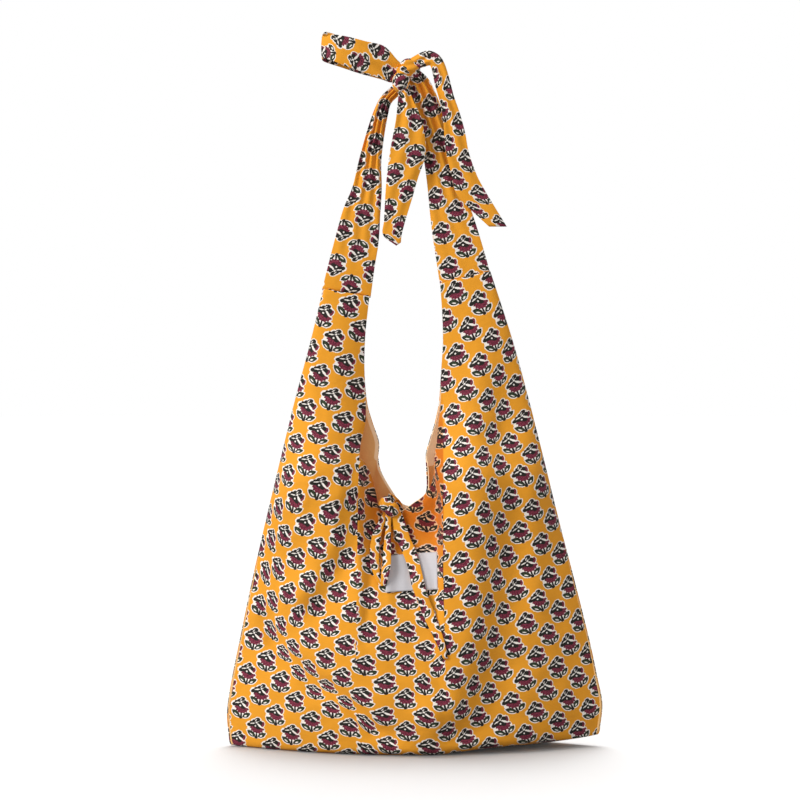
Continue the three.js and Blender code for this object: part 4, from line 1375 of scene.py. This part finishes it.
def knot_piece(node, rows):
    """A knot: lobes that run into each other, each a closed shell of one mesh."""
    points, places = zip(*(lobe_grid(*row) for row in zip(*rows.values())))
    piece = new_piece(cloth_mesh(node, points, places), node, "printed_cotton")


def side_piece(node, panel, layout, finish, thick, deep=0):
    """One side of the bag: outer cloth, or lining where it lies deeper in, with a free hem."""
    blocks = panel_blocks(panel)
    places = panel_print(blocks, *layout)
    edge = None
    if deep:
        blocks = raised_edge(blocks, HEM_RISE)
        edge = from_mouth(blocks)
    mesh = cloth_mesh(node, blocks.values(), places.values(), (0, panel["side"], 0), edge)
    if deep:
        inset(mesh, deep)
    piece = new_piece(mesh, node, finish)
    thicken(piece, thick)


def finish_color(name, description, default):
    return bpy.props.FloatVectorProperty(
        name=name, description=description, default=default, size=3, min=0, max=1, subtype="COLOR")


class ToteFinish(bpy.types.PropertyGroup):
    """Colours of the cloth and its print, as linear light."""

    ground: finish_color("Ground", "Dyed ground of the printed cotton", (0.9, 0.365, 0.02))
    patch: finish_color("Patch", "Undyed patch round each sprig", (1.0, 0.93, 0.85))
    leaf: finish_color("Leaf", "Dark ink of the leaves and stalks", (0.017, 0.014, 0.01))
    flower: finish_color("Flower", "Ink of the flower and its bud", (0.075, 0.008, 0.02))
    lining: finish_color("Lining", "Plain lining", (0.94, 0.56, 0.22))
    label: finish_color("Label", "Bare woven label", (0.62, 0.60, 0.62))


class ToteBands(bpy.types.PropertyGroup):
    """Cut sizes of the sewn bands."""

    strap_width: bpy.props.FloatProperty(
        name="Strap width", description="Width of a strap as sewn, before it is gathered",
        default=0.042, min=0.02, max=0.12, subtype="DISTANCE", unit="LENGTH")
    tie_width: bpy.props.FloatProperty(
        name="Tie width", description="Width of the narrow tie at the mouth",
        default=0.013, min=0.004, max=0.03, subtype="DISTANCE", unit="LENGTH")


class TOTE_OT_panels(bpy.types.Operator):
    """Builds the front and back of the bag in printed cotton"""

    bl_idname = "tote.panels"
    bl_label = "Outer panels"

    def execute(self, context):
        side_piece("panel_front", FRONT, FRONT_PRINT, "printed_front_painted_shade", CLOTH)
        side_piece("panel_back", BACK, BACK_PRINT, "printed_cotton", CLOTH)
        return {"FINISHED"}


class TOTE_OT_linings(bpy.types.Operator):
    """Builds the plain lining inside both panels"""

    bl_idname = "tote.linings"
    bl_label = "Lining"

    def execute(self, context):
        side_piece("lining_front", FRONT, FRONT_PRINT, "plain_lining", LINING, LINING_INSET)
        side_piece("lining_back", BACK, BACK_PRINT, "plain_lining", LINING, LINING_INSET)
        return {"FINISHED"}


class TOTE_OT_straps(bpy.types.Operator):
    """Builds the two straps, their free tails, the bow's loop and the knot"""

    bl_idname = "tote.straps"
    bl_label = "Tied straps"

    def execute(self, context):
        width = context.scene.tote_bands.strap_width / MM
        for node, rows, flat, held, along, pleats, upside, start in (
            ("strap_left", STRAP_LEFT, (42, 236), "gathered", 150, 3.5, -1, (3, 9)),
            ("strap_right", STRAP_RIGHT, (42, 230), "gathered", 150, 3.5, 1, (13, 25)),
            ("tail_front", TAIL_FRONT, (38, 150), "hung", 130, 2, 1, (28, 20)),
            ("tail_right", TAIL_RIGHT, (28, 225), "hung", 170, 2, -1, (10.5, 2.5)),
            ("bow_loop", BOW_LOOP, (38, 190), "folded", 190, 2, 1, (-12, 11)),
        ):
            shape = {"along": along, "pleats": pleats, "upside": upside, "start": start}
            band_piece(node, rows, width, flat, held, around=96, **shape)
        knot_piece("knot", STRAP_KNOT)
        return {"FINISHED"}


class TOTE_OT_mouth_tie(bpy.types.Operator):
    """Builds the narrow tie that draws the mouth together"""

    bl_idname = "tote.mouth_tie"
    bl_label = "Mouth tie"

    def execute(self, context):
        width = context.scene.tote_bands.tie_width / MM
        surface = front_surface()
        for node, rows, flat, shape in (
            ("tie_loop", laid(surface, TIE_LOOP), (11, 152), {"along": 120, "start": (8, 3)}),
            ("tie_end", laid(surface, TIE_END), (13, 166), {"along": 120, "upside": -1, "start": (8, 0)}),
            ("tie_back", TIE_BACK, (10, 42), {"along": 40}),
        ):
            band_piece(node, rows, width, flat, "hung", around=40, pleats=1, **shape)
        knot_piece("tie_knot", TIE_KNOT)
        return {"FINISHED"}


class TOTE_OT_label(bpy.types.Operator):
    """Builds the bare woven label on the front"""

    bl_idname = "tote.label"
    bl_label = "Label"

    def execute(self, context):
        surface = front_surface()
        columns, rows = LABEL_GRID
        u, v = np.meshgrid(np.linspace(0, 1, columns + 1), np.linspace(0, 1, rows + 1))
        corner = {key: np.array(place, float) for key, place in LABEL_CORNERS.items()}
        low = mix(corner["bottom_left"], corner["bottom_right"], u[..., None])
        high = mix(corner["top_left"], corner["top_right"], u[..., None])
        place = mix(low, high, v[..., None])
        y = np.array([face_y(surface, x, z) for x, z in place.reshape(-1, 2)]).reshape(u.shape)
        points = np.stack([place[..., 0], y - LABEL_STANDOFF, place[..., 1]], axis=-1)
        piece = new_piece(cloth_mesh("label", [points], [place], (0, -1, 0)), "label", "woven_label")
        thicken(piece, LABEL_THICK)
        return {"FINISHED"}


def pale_floor():
    """The floor's paper, darker to the bag than to the camera, so that it casts little back."""
    paper = bpy.data.materials.new("pale floor")
    paper.use_nodes = True
    tree = paper.node_tree
    surface = tree.nodes["Principled BSDF"].inputs
    seen = tree.nodes.new("ShaderNodeLightPath").outputs["Is Camera Ray"]
    link(tree, maths(tree, "MULTIPLY", seen, FLOOR["glow"]), surface["Emission Strength"])
    surface["Emission Color"].default_value = WHITE
    tone = blended(tree, seen, [FLOOR["cast"]] * 3, [FLOOR["seen"]] * 3)
    link(tree, tone, surface["Base Color"])
    surface["Roughness"].default_value = 0.9
    surface["Specular IOR Level"].default_value = 0.0
    return paper


def studio_world():
    """White round about to the camera, and a softer white to the bag."""
    world = bpy.data.worlds.new("studio")
    world.use_nodes = True
    tree = world.node_tree
    soft = tree.nodes["Background"]
    soft.inputs["Color"].default_value = WHITE
    soft.inputs["Strength"].default_value = SKY_LIGHT
    seen = tree.nodes.new("ShaderNodeBackground")
    seen.inputs["Color"].default_value = WHITE
    choice = tree.nodes.new("ShaderNodeMixShader")
    path = tree.nodes.new("ShaderNodeLightPath").outputs["Is Camera Ray"]
    feed(tree, choice.inputs, (path, soft.outputs[0], seen.outputs[0]))
    link(tree, choice.outputs[0], tree.nodes["World Output"].inputs["Surface"])
    return world


class TOTE_OT_stage(bpy.types.Operator):
    """Sets the camera, the pale floor and the soft studio light"""

    bl_idname = "tote.stage"
    bl_label = "Studio"

    def execute(self, context):
        scene = context.scene
        camera = bpy.data.cameras.new("camera")
        camera.lens = CAMERA_LENS
        camera.sensor_width = 36
        camera.clip_end = 100
        scene.camera = new_object("camera", camera)
        scene.camera.location = CAMERA_PLACE
        scene.camera.rotation_euler = (np.pi / 2, 0, 0)
        paper = bpy.data.meshes.new("floor")
        half = FLOOR["half"]
        corners = [(-half, -half, 0), (half, -half, 0), (half, half, 0), (-half, half, 0)]
        paper.from_pydata(corners, [], [(0, 1, 2, 3)])
        paper.materials.append(pale_floor())
        floor = new_object("floor", paper)
        for name, turn, strength, spread, on_floor in SUNS:
            lamp = bpy.data.lights.new(name, "SUN")
            lamp.energy = strength
            lamp.angle = np.radians(spread)
            light = new_object(name, lamp)
            light.rotation_euler = np.radians(turn)
            lit = bpy.data.collections.new(f"{name} on the floor")
            lit.objects.link(floor)
            lit.collection_objects[0].light_linking.link_state = on_floor
            light.light_linking.receiver_collection = lit
        scene.world = studio_world()
        scene.view_settings.view_transform = "Standard"
        return {"FINISHED"}


class TOTE_PT_panel(bpy.types.Panel):
    """Lists the bag's pieces and their sizes"""

    bl_idname = "TOTE_PT_panel"
    bl_label = "Tote bag"
    bl_space_type = "VIEW_3D"
    bl_region_type = "UI"
    bl_category = "Tote bag"

    def draw(self, context):
        for group in (context.scene.tote_finish, context.scene.tote_bands):
            for key in group.__annotations__:
                self.layout.prop(group, key)
        for operator in OPERATORS:
            self.layout.operator(operator.bl_idname)


PROPERTIES = (ToteFinish, ToteBands)
OPERATORS = (
    TOTE_OT_stage,
    TOTE_OT_panels,
    TOTE_OT_linings,
    TOTE_OT_straps,
    TOTE_OT_mouth_tie,
    TOTE_OT_label,
)


def register():
    for kind in (*PROPERTIES, *OPERATORS, TOTE_PT_panel):
        bpy.utils.register_class(kind)
    bpy.types.Scene.tote_finish = bpy.props.PointerProperty(type=ToteFinish)
    bpy.types.Scene.tote_bands = bpy.props.PointerProperty(type=ToteBands)


def unregister():
    del bpy.types.Scene.tote_bands
    del bpy.types.Scene.tote_finish
    for kind in (TOTE_PT_panel, *reversed(OPERATORS), *reversed(PROPERTIES)):
        bpy.utils.unregister_class(kind)


def main():
    register()
    bpy.ops.tote.stage()
    bpy.ops.tote.panels()
    bpy.ops.tote.linings()
    bpy.ops.tote.straps()
    bpy.ops.tote.mouth_tie()
    bpy.ops.tote.label()


if __name__ == "__main__":
    main()
